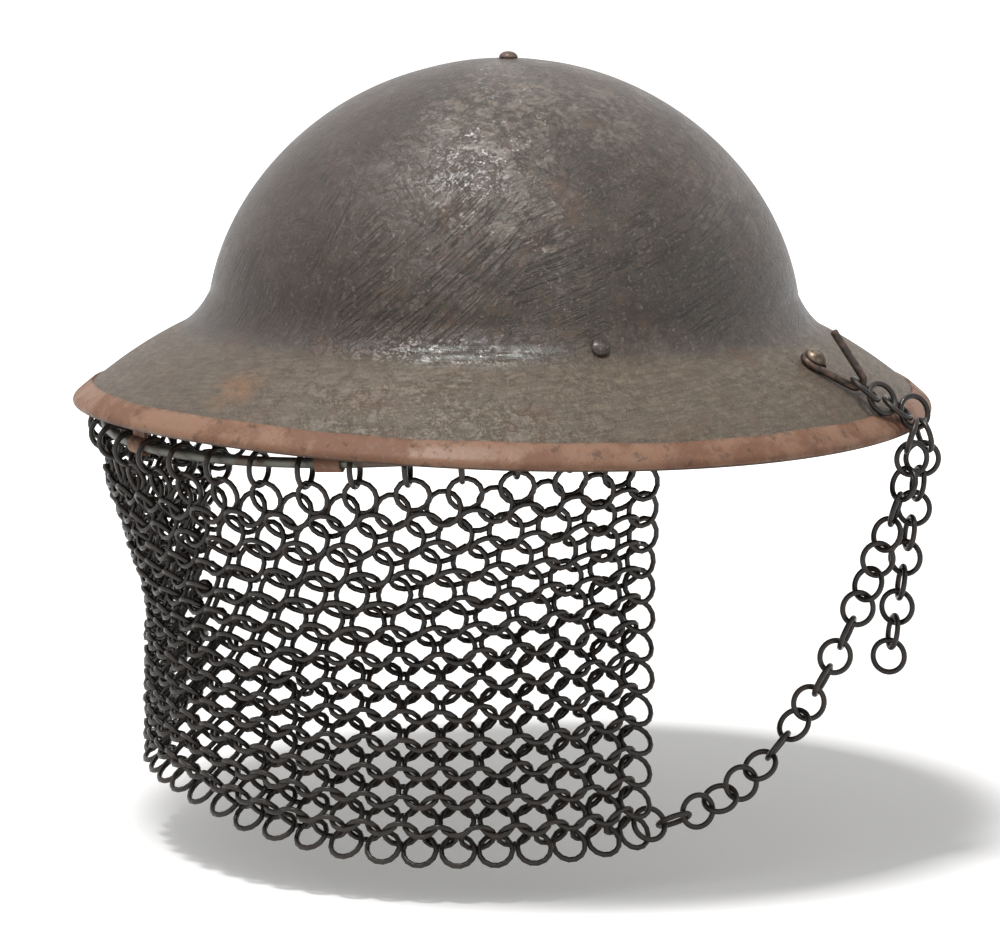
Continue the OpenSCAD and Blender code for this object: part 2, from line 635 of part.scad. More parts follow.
module hook_rivet() color("#7d6543")
    on_surface(hook_r, hook_angle)
        translate([0, 0, hook_wire_d + 0.3])
            rivet(hook_rivet_head_d, 3, wall + hook_wire_d + 0.6, 6);

// Wire hook: an open eye round the rivet, a shank, a bend and a free leg
hook_eye_r = rivet_shank_d / 2 + hook_wire_d / 2 + 0.3;
module hook() color("#4d3d33")
    on_surface(hook_r, hook_angle) rotate([0, 0, hook_turn]) translate([0, 0, hook_wire_d / 2 + 0.15]) {
        w = hook_wire_d / 2;
        rotate_extrude(angle = 270) translate([hook_eye_r, 0]) circle(r = w);
        translate([0, -hook_eye_r, 0]) rotate([0, 90, 0]) cylinder(r = w, h = hook_reach);
        translate([hook_reach, -hook_eye_r, hook_bend_r]) rotate([90, 0, 0])
            rotate([0, 0, -90]) rotate_extrude(angle = hook_bend_turn)
                translate([hook_bend_r, 0]) circle(r = w);
        translate([hook_reach, -hook_eye_r, hook_bend_r]) rotate([90, 0, 0])
            rotate([0, 0, hook_bend_turn - 90]) translate([hook_bend_r, 0, 0]) rotate([-90, 0, 0])
                cylinder(r = w, h = hook_leg);
    }

// Ring of wire about a centre, square to a normal
module ring_at(centre, normal) {
    z = unit(normal);
    x = unit(cross(z, [0.3, 0.2, 0.9]));
    y = cross(z, x);
    multmatrix([[x[0], y[0], z[0], centre[0]],
                [x[1], y[1], z[1], centre[1]],
                [x[2], y[2], z[2], centre[2]]])
        wire_ring();
}

// Middle of the hook's bend, and the place where the chain crosses the rim
bend_out = out_dir(hook_r, hook_angle);
bend_up = up_dir(hook_r, hook_angle);
bend_at = on_shell(hook_r, hook_angle)
    + bend_out * (hook_reach * cos(hook_turn) + hook_eye_r * sin(hook_turn))
    + cross(bend_up, bend_out) * (hook_reach * sin(hook_turn) - hook_eye_r * cos(hook_turn))
    + bend_up * (hook_wire_d / 2 + 0.15 + hook_bend_r);
bend_r = mean_r(bend_at);
chain_angle = mean_phi(bend_at)
    + acos((bend_r * bend_r + edge_r * edge_r - chain_run * chain_run) / (2 * bend_r * edge_r));
rim_at = on_shell(edge_r, chain_angle);
chain_pitch = ring_od - 2 * ring_wire - chain_slack;

// Chain rings on the brim, spread from the hook's bend to the rim as they lie in each other
module chain_lead() color("#37332f") {
    ring_at(bend_at + [1.72, 2.98, -3.13], [0.35, 0.52, 0.78]);
    ring_at(lerp(bend_at, rim_at, 1 / 3) + [2.22, 2.2, -0.66], [0.87, 0.14, 0.48]);
    ring_at(lerp(bend_at, rim_at, 2 / 3) + [1.12, 2.03, 1.61], [0.39, 0.44, 0.81]);
    ring_at(rim_at + [0.83, 1.85, 5.78], [0.95, 0.01, 0.31]);
}

// Normal of a hanging ring: along dir, turned about it by turn
function ring_normal(dir, turn) =
    let(x = unit(dir), y = unit(cross([0, 0, 1], x)), z = cross(x, y), t = turn + 110)
    cross(x, y * cos(t) + z * sin(t));
function arsinh(x) = ln(x + sqrt(x * x + 1));

// The strand hangs as half a catenary from the rim to the curtain's lower corner
strand_top = rim_at + [3.83, -0.85, -9.82];
strand_turn = [0, 55, 105, 45, -15, 45, -15, -75, -15, -75, -15, 45, 100, 45, -15, 40, -20, -80, -20];
function strand_scale(span, arc, a, n) =
    n == 0 ? a
    : let(x = arc / a, y = arsinh(x))
      strand_scale(span, arc, a + (span - a * y) / (y - x / sqrt(x * x + 1)), n - 1);
module chain_strand() color("#37332f") {
    corner = mail_point(columns - 0.5, mail_h(columns - 0.5, mail_rows));
    level = [corner[0] - strand_top[0], corner[1] - strand_top[1], 0];
    span = norm(level) - ring_od / 2 - 0.3;
    full = (strand_n - 1) * chain_pitch;
    a = strand_scale(span, full, span / 2, 8);
    fall = (strand_top[2] - corner[2] - ring_od / 2 + 0.18) / (sqrt(a * a + full * full) - a);
    ring_at(rim_at + [3.24, -0.78, -2.12], [0.57, 0.77, -0.29]);
    ring_at(strand_top, [0.98, -0.2, -0.01]);
    for (k = [1:strand_n - 1]) {
        arc = full - k * chain_pitch;
        u = span - a * arsinh(arc / a);
        v = fall * (sqrt(a * a + arc * arc) - sqrt(a * a + full * full));
        ring_at(strand_top + unit(level) * u + [0, 0, v],
                ring_normal(unit(level) * a - [0, 0, arc], strand_turn[k]));
    }
}

// The spare tail hangs free beside the strand
tail_top = rim_at + [0.93, 5.55, -10.52];
tail_turn = [0, 55, 0, 60, 10, 65, 5, 60, 0, 60];
module chain_tail() color("#37332f") {
    step = unit([-0.07, -0.12, -0.99]) * chain_pitch * 0.96;
    ring_at(rim_at + [2.04, 5.34, -2.22], [0.2, 0.94, 0.28]);
    ring_at(tail_top, [0.85, -0.53, 0.02]);
    for (k = [1:tail_n - 1]) ring_at(tail_top + step * k, ring_normal(step, tail_turn[k]));
}

translate([0, 0, -head_seat_h]) {
    shell();
    rim_band();
    crown_rivet();
    crown_washer();
    strap_long();
    strap_cross();
    crown_ring();
    crown_cloth();
    drawstring();
    headband();
    headband_felt();
    rubber_buffers();
    bail_rivet(1);  // bail_rivet_left
    bail_rivet(-1);  // bail_rivet_right
    bail_lug(1);  // bail_lug_left
    bail_lug(-1);  // bail_lug_right
    bail(1);  // bail_left
    bail(-1);  // bail_right
    visor_rod();
    rod_clips();
    mail_strip(1);  // mail_strip_1
    mail_strip(2);  // mail_strip_2
    mail_strip(3);  // mail_strip_3
    mail_strip(4);  // mail_strip_4
    mail_strip(5);  // mail_strip_5
    mail_strip(6);  // mail_strip_6
    mail_strip(7);  // mail_strip_7
    hangers(1);  // hangers_1
    hangers(2);  // hangers_2
    hangers(3);  // hangers_3
    hangers(4);  // hangers_4
    hangers(5);  // hangers_5
    hangers(6);  // hangers_6
    hangers(7);  // hangers_7
    hook_rivet();
    hook();
    chain_lead();
    chain_strand();
    chain_tail();
}
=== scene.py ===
import math

import bmesh
import bpy
import numpy as np
from mathutils import Matrix


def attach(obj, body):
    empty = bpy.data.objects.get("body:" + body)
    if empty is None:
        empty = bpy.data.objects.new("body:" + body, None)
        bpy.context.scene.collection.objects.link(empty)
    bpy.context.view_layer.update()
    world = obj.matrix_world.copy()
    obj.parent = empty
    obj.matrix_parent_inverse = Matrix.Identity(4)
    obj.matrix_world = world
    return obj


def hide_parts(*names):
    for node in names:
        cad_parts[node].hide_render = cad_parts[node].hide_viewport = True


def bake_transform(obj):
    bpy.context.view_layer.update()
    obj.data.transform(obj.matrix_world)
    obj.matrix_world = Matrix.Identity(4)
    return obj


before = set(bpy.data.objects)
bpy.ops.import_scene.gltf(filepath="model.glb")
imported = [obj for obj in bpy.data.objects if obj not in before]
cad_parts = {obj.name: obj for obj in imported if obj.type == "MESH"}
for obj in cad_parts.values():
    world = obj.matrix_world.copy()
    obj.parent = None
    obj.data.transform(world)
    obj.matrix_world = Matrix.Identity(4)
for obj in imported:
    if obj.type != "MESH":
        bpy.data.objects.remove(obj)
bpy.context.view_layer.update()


# Camera. It stands ahead of the wearer's left side, a little above the brim, with a
# long lens. The picture is 1000 by 937 and the helmet's origin is at the wearer's crown.
CROWN_SEAT = 0.092
VIEW_AZIMUTH, VIEW_RISE, VIEW_ROLL = math.radians(60), 0.1481634, 0.0133457
VIEW_DISTANCE, VIEW_SIDE, VIEW_HEIGHT = 1.6, -0.000999, -0.023275
SENSOR, LENS = 36.0, 162.43


def set_up(thing, right, up, back, place):
    """Stands a camera or lamp at a place, given the ways its own x, y and z point."""
    turn = np.eye(4)
    turn[:3] = np.stack([right, up, back, place], 1)
    thing.matrix_world = Matrix(turn.tolist())
    bpy.context.scene.collection.objects.link(thing)


ahead = np.array([-math.sin(VIEW_AZIMUTH) * math.cos(VIEW_RISE),
                  math.cos(VIEW_AZIMUTH) * math.cos(VIEW_RISE), -math.sin(VIEW_RISE)])
level = np.array([math.cos(VIEW_AZIMUTH), math.sin(VIEW_AZIMUTH), 0.0])
upright = np.cross(level, ahead)
eye = level * VIEW_SIDE + [0, 0, VIEW_HEIGHT - CROWN_SEAT] - ahead * VIEW_DISTANCE
rightwards = math.cos(VIEW_ROLL) * level + math.sin(VIEW_ROLL) * upright
upwards = math.cos(VIEW_ROLL) * upright - math.sin(VIEW_ROLL) * level
lens = bpy.data.cameras.new("camera")
lens.sensor_fit, lens.sensor_width, lens.lens = "HORIZONTAL", SENSOR, LENS
lens.clip_end = 20
camera = bpy.data.objects.new("camera", lens)
set_up(camera, rightwards, upwards, -ahead, eye)
bpy.context.scene.camera = camera
bpy.context.scene.view_settings.view_transform = "Standard"


# Shell. One bowl pressed from a single sheet of one-millimetre steel: a dome, a crease
# and a sloping brim that rises at front and back. The paint is dark brown, worn through
# to older grey coats in patches and scored by slanting brush and scrape marks. Light and
# shade are painted into it as well: lighter on the upper lit side, darker low down and on
# the left, with painted glints and a painted highlight along the crease.
SHELL_LENGTH, SHELL_WIDTH, SHELL_CROWN, SHELL_WALL = 0.305, 0.292, 0.122, 0.001
DOME_RADIUS, BROW_HEIGHT, DOME_POWER = 0.1033, 0.030, 1.85
DOME_END, BRIM_START = DOME_RADIUS - 0.0008, DOME_RADIUS + 0.0087
BRIM_TOP, FILLET_TOP = BROW_HEIGHT - 0.0025, BROW_HEIGHT + 0.003
BRIM_SLOPE, BRIM_CURVE, SADDLE = 0.5, 5.71, 0.0021
EDGE = (SHELL_LENGTH + SHELL_WIDTH) / 4
PLAN_X, PLAN_Y = SHELL_WIDTH / 2 / EDGE, SHELL_LENGTH / 2 / EDGE
SHELL_EDGE = EDGE - 0.00146
SHELL_COLUMNS, DOME_ROWS, CREASE_ROWS, BRIM_ROWS = 256, 60, 16, 26
DOME_SWEEP = math.radians(82)
TINY_STEP, SAME_POINT = 5e-5, 2e-6


def full_turn(count):
    """Angles at equal steps round a full turn."""
    return np.linspace(0, 2 * np.pi, count, endpoint=False)


def dome_height(r):
    """Height of the dome's outside over the brim's edge at mean radius r: its squared
    radius falls as a power of the height over the brow."""
    share = np.clip(1 - (r / DOME_RADIUS) ** 2, 0, 1)
    return BROW_HEIGHT + (SHELL_CROWN - BROW_HEIGHT) * share ** (1 / DOME_POWER)


def shell_height(r):
    """Height of the shell's outside over the brim's edge at mean radius r: the dome, a
    cubic fillet, then a parabola."""
    r = np.asarray(r, float)
    u = np.clip((r - DOME_END) / (BRIM_START - DOME_END), 0, 1)
    fillet = (dome_height(DOME_END) * (1 - u) ** 3 + 3 * FILLET_TOP * u * (1 - u) ** 2
              + 3 * BROW_HEIGHT * u * u * (1 - u) + BRIM_TOP * u ** 3)
    out = np.maximum(r - BRIM_START, 0)
    brim = BRIM_TOP - BRIM_SLOPE * out - BRIM_CURVE * out * out
    dome = dome_height(np.minimum(r, DOME_END))
    return np.where(r <= DOME_END, dome, np.where(r < BRIM_START, fillet, brim))


def shell_slope(r):
    """Rise of the shell's outside with mean radius, from two heights a tiny step apart."""
    return (shell_height(r + TINY_STEP) - shell_height(np.maximum(r - TINY_STEP, 0))) / (2 * TINY_STEP)


def on_shell(r, turn, lift=0.0):
    """Point at mean radius r and angle turn from the front, lift outside the surface,
    on the ellipse of the plan, with the brim's rise and fall round the edge."""
    r, turn, lift = np.broadcast_arrays(np.asarray(r, float), turn, lift)
    slope = shell_slope(r)
    stretch = np.sqrt(1 + slope * slope)
    reach = r - lift * slope / stretch
    height = shell_height(r) + lift / stretch + SADDLE * np.cos(2 * turn) * (r / EDGE) ** 4
    return np.stack([PLAN_X * reach * np.sin(turn), -PLAN_Y * reach * np.cos(turn),
                     height - CROWN_SEAT], -1)


def mesh_piece(name, points, faces):
    """Smooth mesh object in the scene."""
    mesh = bpy.data.meshes.new(name)
    mesh.from_pydata(points, [], faces)
    mesh.polygons.foreach_set("use_smooth", np.ones(len(mesh.polygons), bool))
    piece = bpy.data.objects.new(name, mesh)
    bpy.context.scene.collection.objects.link(piece)
    return piece


def skin(name, grid, round_rows=False, crease=40):
    """Piece over a grid of points, rows by columns. Each row closes on itself, and the last
    row may join the first. Points that fall together, as at a pole, are merged, and the
    faces are turned outwards."""
    rows, columns = grid.shape[:2]
    i, j = np.meshgrid(np.arange(rows if round_rows else rows - 1), np.arange(columns), indexing="ij")
    below, beside = (i + 1) % rows, (j + 1) % columns
    quads = np.stack([i * columns + j, i * columns + beside,
                      below * columns + beside, below * columns + j], -1).reshape(-1, 4)
    piece = mesh_piece(name, grid.reshape(-1, 3).tolist(), quads.tolist())
    work = bmesh.new()
    work.from_mesh(piece.data)
    bmesh.ops.remove_doubles(work, verts=work.verts, dist=SAME_POINT)
    bmesh.ops.recalc_face_normals(work, faces=work.faces)
    work.to_mesh(piece.data)
    work.free()
    piece.data.set_sharp_from_angle(angle=math.radians(crease))
    return piece


class Value:
    """A shader socket in arithmetic: each operator adds the Math node that works it out."""

    def __init__(self, nodes, socket):
        self.nodes, self.socket = nodes, socket

    def op(self, operation, first, second):
        """Math node of that operation on two values."""
        node = self.nodes.node("ShaderNodeMath", {"operation": operation}, {0: first, 1: second})
        return Value(self.nodes, node.outputs[0])

    def __add__(self, other): return self.op("ADD", self, other)
    def __radd__(self, other): return self.op("ADD", other, self)
    def __sub__(self, other): return self.op("SUBTRACT", self, other)
    def __rsub__(self, other): return self.op("SUBTRACT", other, self)
    def __mul__(self, other): return self.op("MULTIPLY", self, other)
    def __rmul__(self, other): return self.op("MULTIPLY", other, self)

    def band(self, low, high):
        """0 below low, 1 above high and a smooth rise between them."""
        node = self.nodes.node("ShaderNodeMapRange", {"interpolation_type": "SMOOTHSTEP"},
                               {"Value": self, "From Min": low, "From Max": high})
        return Value(self.nodes, node.outputs[0])

    def zone(self, start, full, fade, end):
        """1 from full to fade, with smooth edges down to 0 at start and at end."""
        return self.band(start, full) * (1 - self.band(fade, end))


class Nodes:
    """A node tree, and one way to add any node to it."""

    def __init__(self, tree):
        self.tree = tree

    def node(self, kind, settings=None, inputs=None):
        """A node of that kind, its settings first and then its inputs' values or links."""
        node = self.tree.nodes.new(kind)
        for key, value in (settings or {}).items():
            setattr(node, key, value)
        for key, value in (inputs or {}).items():
            self.feed(node.inputs[key], value)
        return node

    def feed(self, socket, value):
        """Gives an input a link, or a constant set on the socket itself."""
        if isinstance(value, Value):
            value = value.socket
        if isinstance(value, bpy.types.NodeSocket):
            self.tree.links.new(value, socket)
        else:
            socket.default_value = value


class Paint(Nodes):
    """One material: its shader, and the patterns that colour and roughen it, on the
    piece's own coordinates in metres."""

    def __init__(self, name, roughness, metallic=0.0, **sockets):
        self.material = bpy.data.materials.new(name)
        self.material.use_nodes = True
        super().__init__(self.material.node_tree)
        self.shader = self.tree.nodes["Principled BSDF"]
        for socket, value in dict(Roughness=roughness, Metallic=metallic, **sockets).items():
            self.feed(self.shader.inputs[socket.replace("_", " ")], value)
        self.place = self.node("ShaderNodeTexCoord").outputs["Object"]

    def noise(self, scale, detail=4.0, rough=0.55, place=None, distortion=0.0):
        """Noise from about 0.3 to 0.7, with features of 1 / scale metres."""
        node = self.node("ShaderNodeTexNoise", None,
                         {"Vector": place or self.place, "Scale": scale, "Detail": detail,
                          "Roughness": rough, "Distortion": distortion})
        return Value(self, node.outputs[0])

    def attribute(self, name):
        """The piece's own attribute of that name."""
        return Value(self, self.node("ShaderNodeAttribute", {"attribute_name": name}).outputs["Fac"])

    def strokes(self, round_way, height, slant, length, width, seed=0.0):
        """Noise drawn out into strokes that climb the helmet's side at a slant in degrees,
        from the distance round the helmet and the height."""
        c, s = math.cos(math.radians(slant)), math.sin(math.radians(slant))
        along = round_way * (c / length) + height * (s / length)
        over = height * (c / width) + round_way * (-s / width)
        place = self.node("ShaderNodeCombineXYZ", None, {0: along, 1: over, 2: seed}).outputs[0]
        return self.noise(1.0, 3, 0.6, place)

    def near(self, point, inner, outer):
        """1 within inner metres of a point, fading to 0 at outer."""
        node = self.node("ShaderNodeVectorMath", {"operation": "DISTANCE"},
                         {0: self.place, 1: tuple(float(c) for c in point)})
        return 1 - Value(self, node.outputs["Value"]).band(inner, outer)

    def mix(self, mask, first, second):
        """Colour that goes from first to second as mask goes from 0 to 1."""
        colour = lambda c: c if isinstance(c, bpy.types.NodeSocket) else tuple(c) + (1.0,)
        node = self.node("ShaderNodeMix", {"data_type": "RGBA"},
                         {0: mask, 6: colour(first), 7: colour(second)})
        return node.outputs[2]

    def colour(self, value):
        """Base colour, linked or plain."""
        self.feed(self.shader.inputs["Base Color"], value if isinstance(value, bpy.types.NodeSocket)
                  else tuple(value) + (1.0,))

    def bump(self, height, depth):
        """Relief of that depth in metres from a height of 0 to 1."""
        node = self.node("ShaderNodeBump", None, {"Distance": depth, "Strength": 1.0, "Height": height})
        self.feed(self.shader.inputs["Normal"], node.outputs[0])

    def on(self, piece):
        """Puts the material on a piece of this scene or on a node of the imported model."""
        if piece.material_slots:
            for place in piece.material_slots:
                place.material = self.material
        else:
            piece.data.materials.append(self.material)


UMBER, GREEN_GREY, OLD_GREY = (0.084, 0.057, 0.040), (0.082, 0.066, 0.047), (0.205, 0.168, 0.140)
# The soot colour serves for soot and for painted shade alike, and the left brown is painted shade.
DARK_UMBER, SOOT_AND_SHADE, LEFT_SHADE_BROWN = [c * 0.5 for c in UMBER], (0.016, 0.012, 0.009), (0.036, 0.022, 0.015)
BRIM_OLIVE, RUST, ORANGE = (0.168, 0.131, 0.090), (0.10, 0.048, 0.026), (0.24, 0.115, 0.045)
DULL_OLIVE = [c * 0.78 for c in BRIM_OLIVE]
# Painted highlights: a shine along the crease and glints on the lit upper side.
CREASE_HIGHLIGHT, PAINTED_GLINT = (0.24, 0.245, 0.225), (0.55, 0.54, 0.52)
RUST_SPOT, SPOT_HEART, SPOT_RIM = (0.0418, -0.1269, -0.0753), 0.001, 0.014
PAINT_DEPTH = 0.0006

turns = -full_turn(SHELL_COLUMNS)
outer_r = np.concatenate([DOME_RADIUS * np.sin(np.linspace(0, DOME_SWEEP, DOME_ROWS)),
                          np.linspace(DOME_END, BRIM_START, CREASE_ROWS),
                          np.linspace(BRIM_START, SHELL_EDGE, BRIM_ROWS)[1:]])
inner_r = outer_r[::-2]
inner_r = np.append(inner_r, 0.0) if inner_r[-1] > 0 else inner_r
uneven = (0.00018 * np.sin(3 * turns + 0.7)[None] * np.sin(outer_r / 0.021)[:, None]
          + 0.00012 * np.sin(7 * turns + 2.1)[None] * np.sin(outer_r / 0.013 + 1)[:, None])
fade = np.clip(outer_r / 0.03, 0, 1) * np.clip((SHELL_EDGE - outer_r) / 0.012, 0, 1)
shell_grid = np.concatenate([on_shell(outer_r[:, None], turns[None], uneven * fade[:, None]),
                             on_shell(inner_r[:, None], turns[None], -SHELL_WALL)])
shell = skin("shell_steel", shell_grid)

# Heights are in metres from the crown seat, and turns in radians from the front towards
# the wearer's left.
old_paint = Paint("worn_brown_paint", roughness=0.4, Specular_IOR_Level=0.42)
split = old_paint.node("ShaderNodeSeparateXYZ", None, {0: old_paint.place})
x, y, height = (Value(old_paint, split.outputs[k]) for k in range(3))
turn = x.op("ARCTAN2", x * (1 / PLAN_X), y * (-1 / PLAN_Y))
round_way = turn * DOME_RADIUS
# 1 on the upper dome: there the paint is lightened as painted light, and below it darkened as painted
#                      shade.
painted_top_light = height.band(-0.050, 0.005)
brim_mask = 1 - height.band(-0.067, -0.060)
lit_side = turn.zone(0.45, 0.85, 1.20, 1.36)
# The left side, darkened all over as painted shade.
left_shade = turn.zone(-1.60, -0.80, 0.20, 0.80)
stroke_zone = height.zone(-0.064, -0.054, -0.024, 0.010)
noise, strokes, near, mix = old_paint.noise, old_paint.strokes, old_paint.near, old_paint.mix

# Worn coats: old grey over the upper side, soot and dark flakes between them. Painted
# light pushes the grey further over the upper lit side; painted shade adds to the soot
# and flakes low on the dome and on the left.
grain = noise(300, 6, 0.75)
cloud = noise(13, 4, 0.55)
ragged = noise(30, 9, 0.75, distortion=0.5)
flakes = noise(120, 8, 0.75, distortion=0.5)
specks = noise(700, 3, 0.6).band(0.58, 0.66)
# Worn grey coat, pushed further over the upper lit side as painted light.
grey_coat_and_light = (ragged * 0.6 + grain * 0.4 + painted_top_light * 0.06 + lit_side * painted_top_light * 0.05).band(0.50, 0.60)
# Soot, with painted shade: more of it low on the dome and on the left, less on the lit side.
soot_and_shade = (noise(19, 6, 0.65) * 0.65 + grain * 0.35 - painted_top_light * 0.05 - lit_side * 0.05
         + left_shade * 0.04).band(0.42, 0.54)
# Dark flakes, with a little painted shade low on the dome and on the left.
dark_flakes_and_shade = (flakes * 0.7 + grain * 0.3 - painted_top_light * 0.02 + left_shade * 0.04).band(0.45, 0.52)
# Painted glints: bright metallic specks on the lit upper side.
painted_glints = specks * painted_top_light * lit_side * noise(90, 4).band(0.50, 0.60)

# Scraped strokes: near upright in front, steep at the left front, shallow at the left.
upright_marks = (strokes(round_way, height, 78, 0.016, 0.0010, 11.0).band(0.52, 0.60)
                 * (1 - turn.band(0.38, 0.60)))
steep = (strokes(round_way, height, 43, 0.020, 0.0011).band(0.52, 0.59)
         * turn.zone(0.38, 0.60, 1.08, 1.22))
shallow = (strokes(round_way, height, 20, 0.020, 0.0012, 7.0).band(0.52, 0.59)
           * turn.band(1.00, 1.15))
brushed = strokes(round_way, height, 8, 0.009, 0.0008, 9.0)
scored = (upright_marks + steep + shallow) * noise(24, 4, 0.6).band(0.40, 0.54) * stroke_zone
brim_grain = strokes(round_way, height, 0, 0.010, 0.0010, 5.0).band(0.35, 0.65)
# Painted highlight along the crease at the dome's foot on the lit side, coloured and made metallic like
# rubbed steel.
highlight_streaks = strokes(round_way, height, 0, 0.022, 0.0013, 3.0).band(0.42, 0.60)
crease_highlight = (highlight_streaks * turn.zone(0.70, 0.86, 1.10, 1.30) * noise(60, 3).band(0.30, 0.50)
              * height.zone(-0.0665, -0.0635, -0.0600, -0.0575))
rust_spot = near(RUST_SPOT, SPOT_HEART, SPOT_RIM) * noise(240, 4).band(0.25, 0.60)

tone = mix(cloud.band(0.38, 0.62), UMBER, GREEN_GREY)
brim_tone = mix(brim_grain, BRIM_OLIVE, DULL_OLIVE)
for mask, coat in ((grey_coat_and_light * 0.75, OLD_GREY),
                   (soot_and_shade * 0.60 * (1 - brim_mask), SOOT_AND_SHADE),
                   (dark_flakes_and_shade * 0.55 * (1 - 0.7 * brim_mask), SOOT_AND_SHADE),
                   (flakes.band(0.56, 0.64) * 0.45 * (1 - brim_mask), OLD_GREY),
                   (brim_mask * 0.85, brim_tone),
                   (brushed.band(0.44, 0.60) * 0.35, DARK_UMBER),
                   (scored * 0.9, SOOT_AND_SHADE),
                   (grain.band(0.42, 0.58) * 0.45, DARK_UMBER),
                   (specks * 0.5, OLD_GREY),
                   (noise(55, 6, 0.7).band(0.55, 0.68) * 0.5, RUST),
                   (rust_spot * 0.7, ORANGE),
                   # Painted shade over the left side.
                   (left_shade * (0.50 - 0.25 * brim_mask), LEFT_SHADE_BROWN),
                   (crease_highlight * 0.7, CREASE_HIGHLIGHT),
                   (painted_glints * 0.9, PAINTED_GLINT)):
    tone = mix(mask, tone, coat)
old_paint.colour(tone)
old_paint.feed(old_paint.shader.inputs["Roughness"],
               0.22 + 0.16 * grain + 0.20 * brim_mask - 0.10 * crease_highlight - 0.05 * lit_side * painted_top_light)
old_paint.feed(old_paint.shader.inputs["Metallic"], crease_highlight * 0.35 + painted_glints * 0.6)
old_paint.bump(0.15 * grey_coat_and_light + 0.35 * grain - 0.60 * scored + 0.22 * brushed + 0.25 * specks
               - 0.25 * dark_flakes_and_shade, PAINT_DEPTH)
old_paint.on(shell)
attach(shell, "helmet")
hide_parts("shell")


# Rim band. A strip of thin sheet folded over the brim's edge all the way round and pressed
# flat, with a little play in its width. Its brown-pink paint is rubbed through to rust.
BAND_SHEET, BAND_TOP_LEG, BAND_LOW_LEG = 0.0008, 0.0066, 0.005
TAB_ROOM, BAND_GAP, FOLD_PLAY, BAND_COLUMNS = 0.0013, 0.0001, 0.0002, 288
FOLD_MIDDLE = (BAND_GAP - SHELL_WALL - TAB_ROOM) / 2
FOLD_INSIDE = (BAND_GAP + SHELL_WALL + TAB_ROOM) / 2
SALMON, BAND_BROWN, BAND_DARK = (0.228, 0.123, 0.076), (0.165, 0.080, 0.048), (0.045, 0.029, 0.020)


def fold_line(radius, angles):
    """Points (mean radius, lift) of a half circle round the brim's edge, from above it."""
    return [(SHELL_EDGE + FOLD_PLAY + radius * math.sin(a), FOLD_MIDDLE + radius * math.cos(a))
            for a in angles]


band_turns = full_turn(BAND_COLUMNS)
waver = 0.00022 * np.sin(9 * band_turns + 1.0) + 0.00014 * np.sin(23 * band_turns)
sides = np.radians(np.arange(0, 181, 15))
top_line, low_line = FOLD_MIDDLE + FOLD_INSIDE, FOLD_MIDDLE - FOLD_INSIDE
top_reach, low_reach = EDGE - BAND_TOP_LEG, EDGE - BAND_LOW_LEG
top_leg = [(top_reach, top_line), (top_reach, top_line + 0.6 * BAND_SHEET),
           (top_reach + 0.0003, top_line + BAND_SHEET),
           (top_reach + BAND_TOP_LEG / 2, top_line + BAND_SHEET)]
low_leg = [(low_reach, low_line - BAND_SHEET), (low_reach, low_line)]
profile = (top_leg + fold_line(FOLD_INSIDE + BAND_SHEET, sides) + low_leg
           + fold_line(FOLD_INSIDE * 0.9, sides[::-3]))
band_grid = np.stack([on_shell(r + (waver if k < len(top_leg) else 0), band_turns, lift)
                      for k, (r, lift) in enumerate(profile)])
band = skin("rim_strip", band_grid, round_rows=True, crease=50)

# Darker along the strip's top edge, and painted shade on everything below the fold's middle.
lip = band.data.attributes.new("lip", "FLOAT", "POINT")
lip_rows = np.zeros(len(profile), np.float32)
lip_rows[:3], lip_rows[9], lip_rows[10:] = 0.55, 0.5, 1.0
lip.data.foreach_set("value", np.repeat(lip_rows, len(band_turns)))
band_paint = Paint("rubbed_band_paint", roughness=0.55, Specular_IOR_Level=0.3)
rubbed = band_paint.noise(48, 7, 0.68).band(0.44, 0.60)
stain = band_paint.noise(170, 6, 0.65).band(0.55, 0.68)
top_edge_and_shade_rows = band_paint.attribute("lip")
# Painted shade under the fold's middle, and a darker top edge.
top_edge_and_painted_shade = (top_edge_and_shade_rows + band_paint.noise(220, 5, 0.65) * 0.9).band(0.85, 1.35)
band_tone = band_paint.mix(rubbed, SALMON, BAND_BROWN)
band_tone = band_paint.mix(stain * 0.55, band_tone, BAND_DARK)
band_tone = band_paint.mix(band_paint.noise(600, 4).band(0.56, 0.68) * 0.35, band_tone, OLD_GREY)
band_tone = band_paint.mix(top_edge_and_painted_shade * 0.85, band_tone, BAND_DARK)
band_paint.colour(band_tone)
band_paint.feed(band_paint.shader.inputs["Roughness"], 0.48 + 0.2 * rubbed + 0.1 * stain)
band_paint.bump(0.4 * rubbed + 0.4 * stain + 0.5 * band_paint.noise(700, 4), 0.0003)
band_paint.on(band)
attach(band, "helmet")
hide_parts("rim_band")


# Crown rivet, its washer and the bail rivets. Turned steel rivets with low domed heads,
# set from inside. They carry the lining at the crown and the chinstrap's bails.
RIVET_SHANK, SET_TAIL, TAIL_ROUND, HEAD_REST = 0.0038, 0.0014, 0.0006, 0.00005
CROWN_HEAD, CROWN_RISE, CROWN_TAIL, CROWN_SPARE = 0.0066, 0.0024, 0.007, 0.0024
BAIL_HEAD, BAIL_RISE, BAIL_TAIL, BAIL_SPARE, BAIL_LIFT = 0.0064, 0.002, 0.0056, 0.0008, 0.0004
BAIL_RADIUS, BAIL_TURN, LUG_SHEET = 0.1068, math.radians(78), 0.0012
STRAP_SHEET, WASHER_SHEET = 0.0015, 0.0008
RIVET_BROWN, RIVET_CHIP = (0.085, 0.052, 0.038), (0.15, 0.10, 0.078)


def unit(way):
    """Way, or an array of ways, divided by its length."""
    return way / np.linalg.norm(way, axis=-1, keepdims=True)


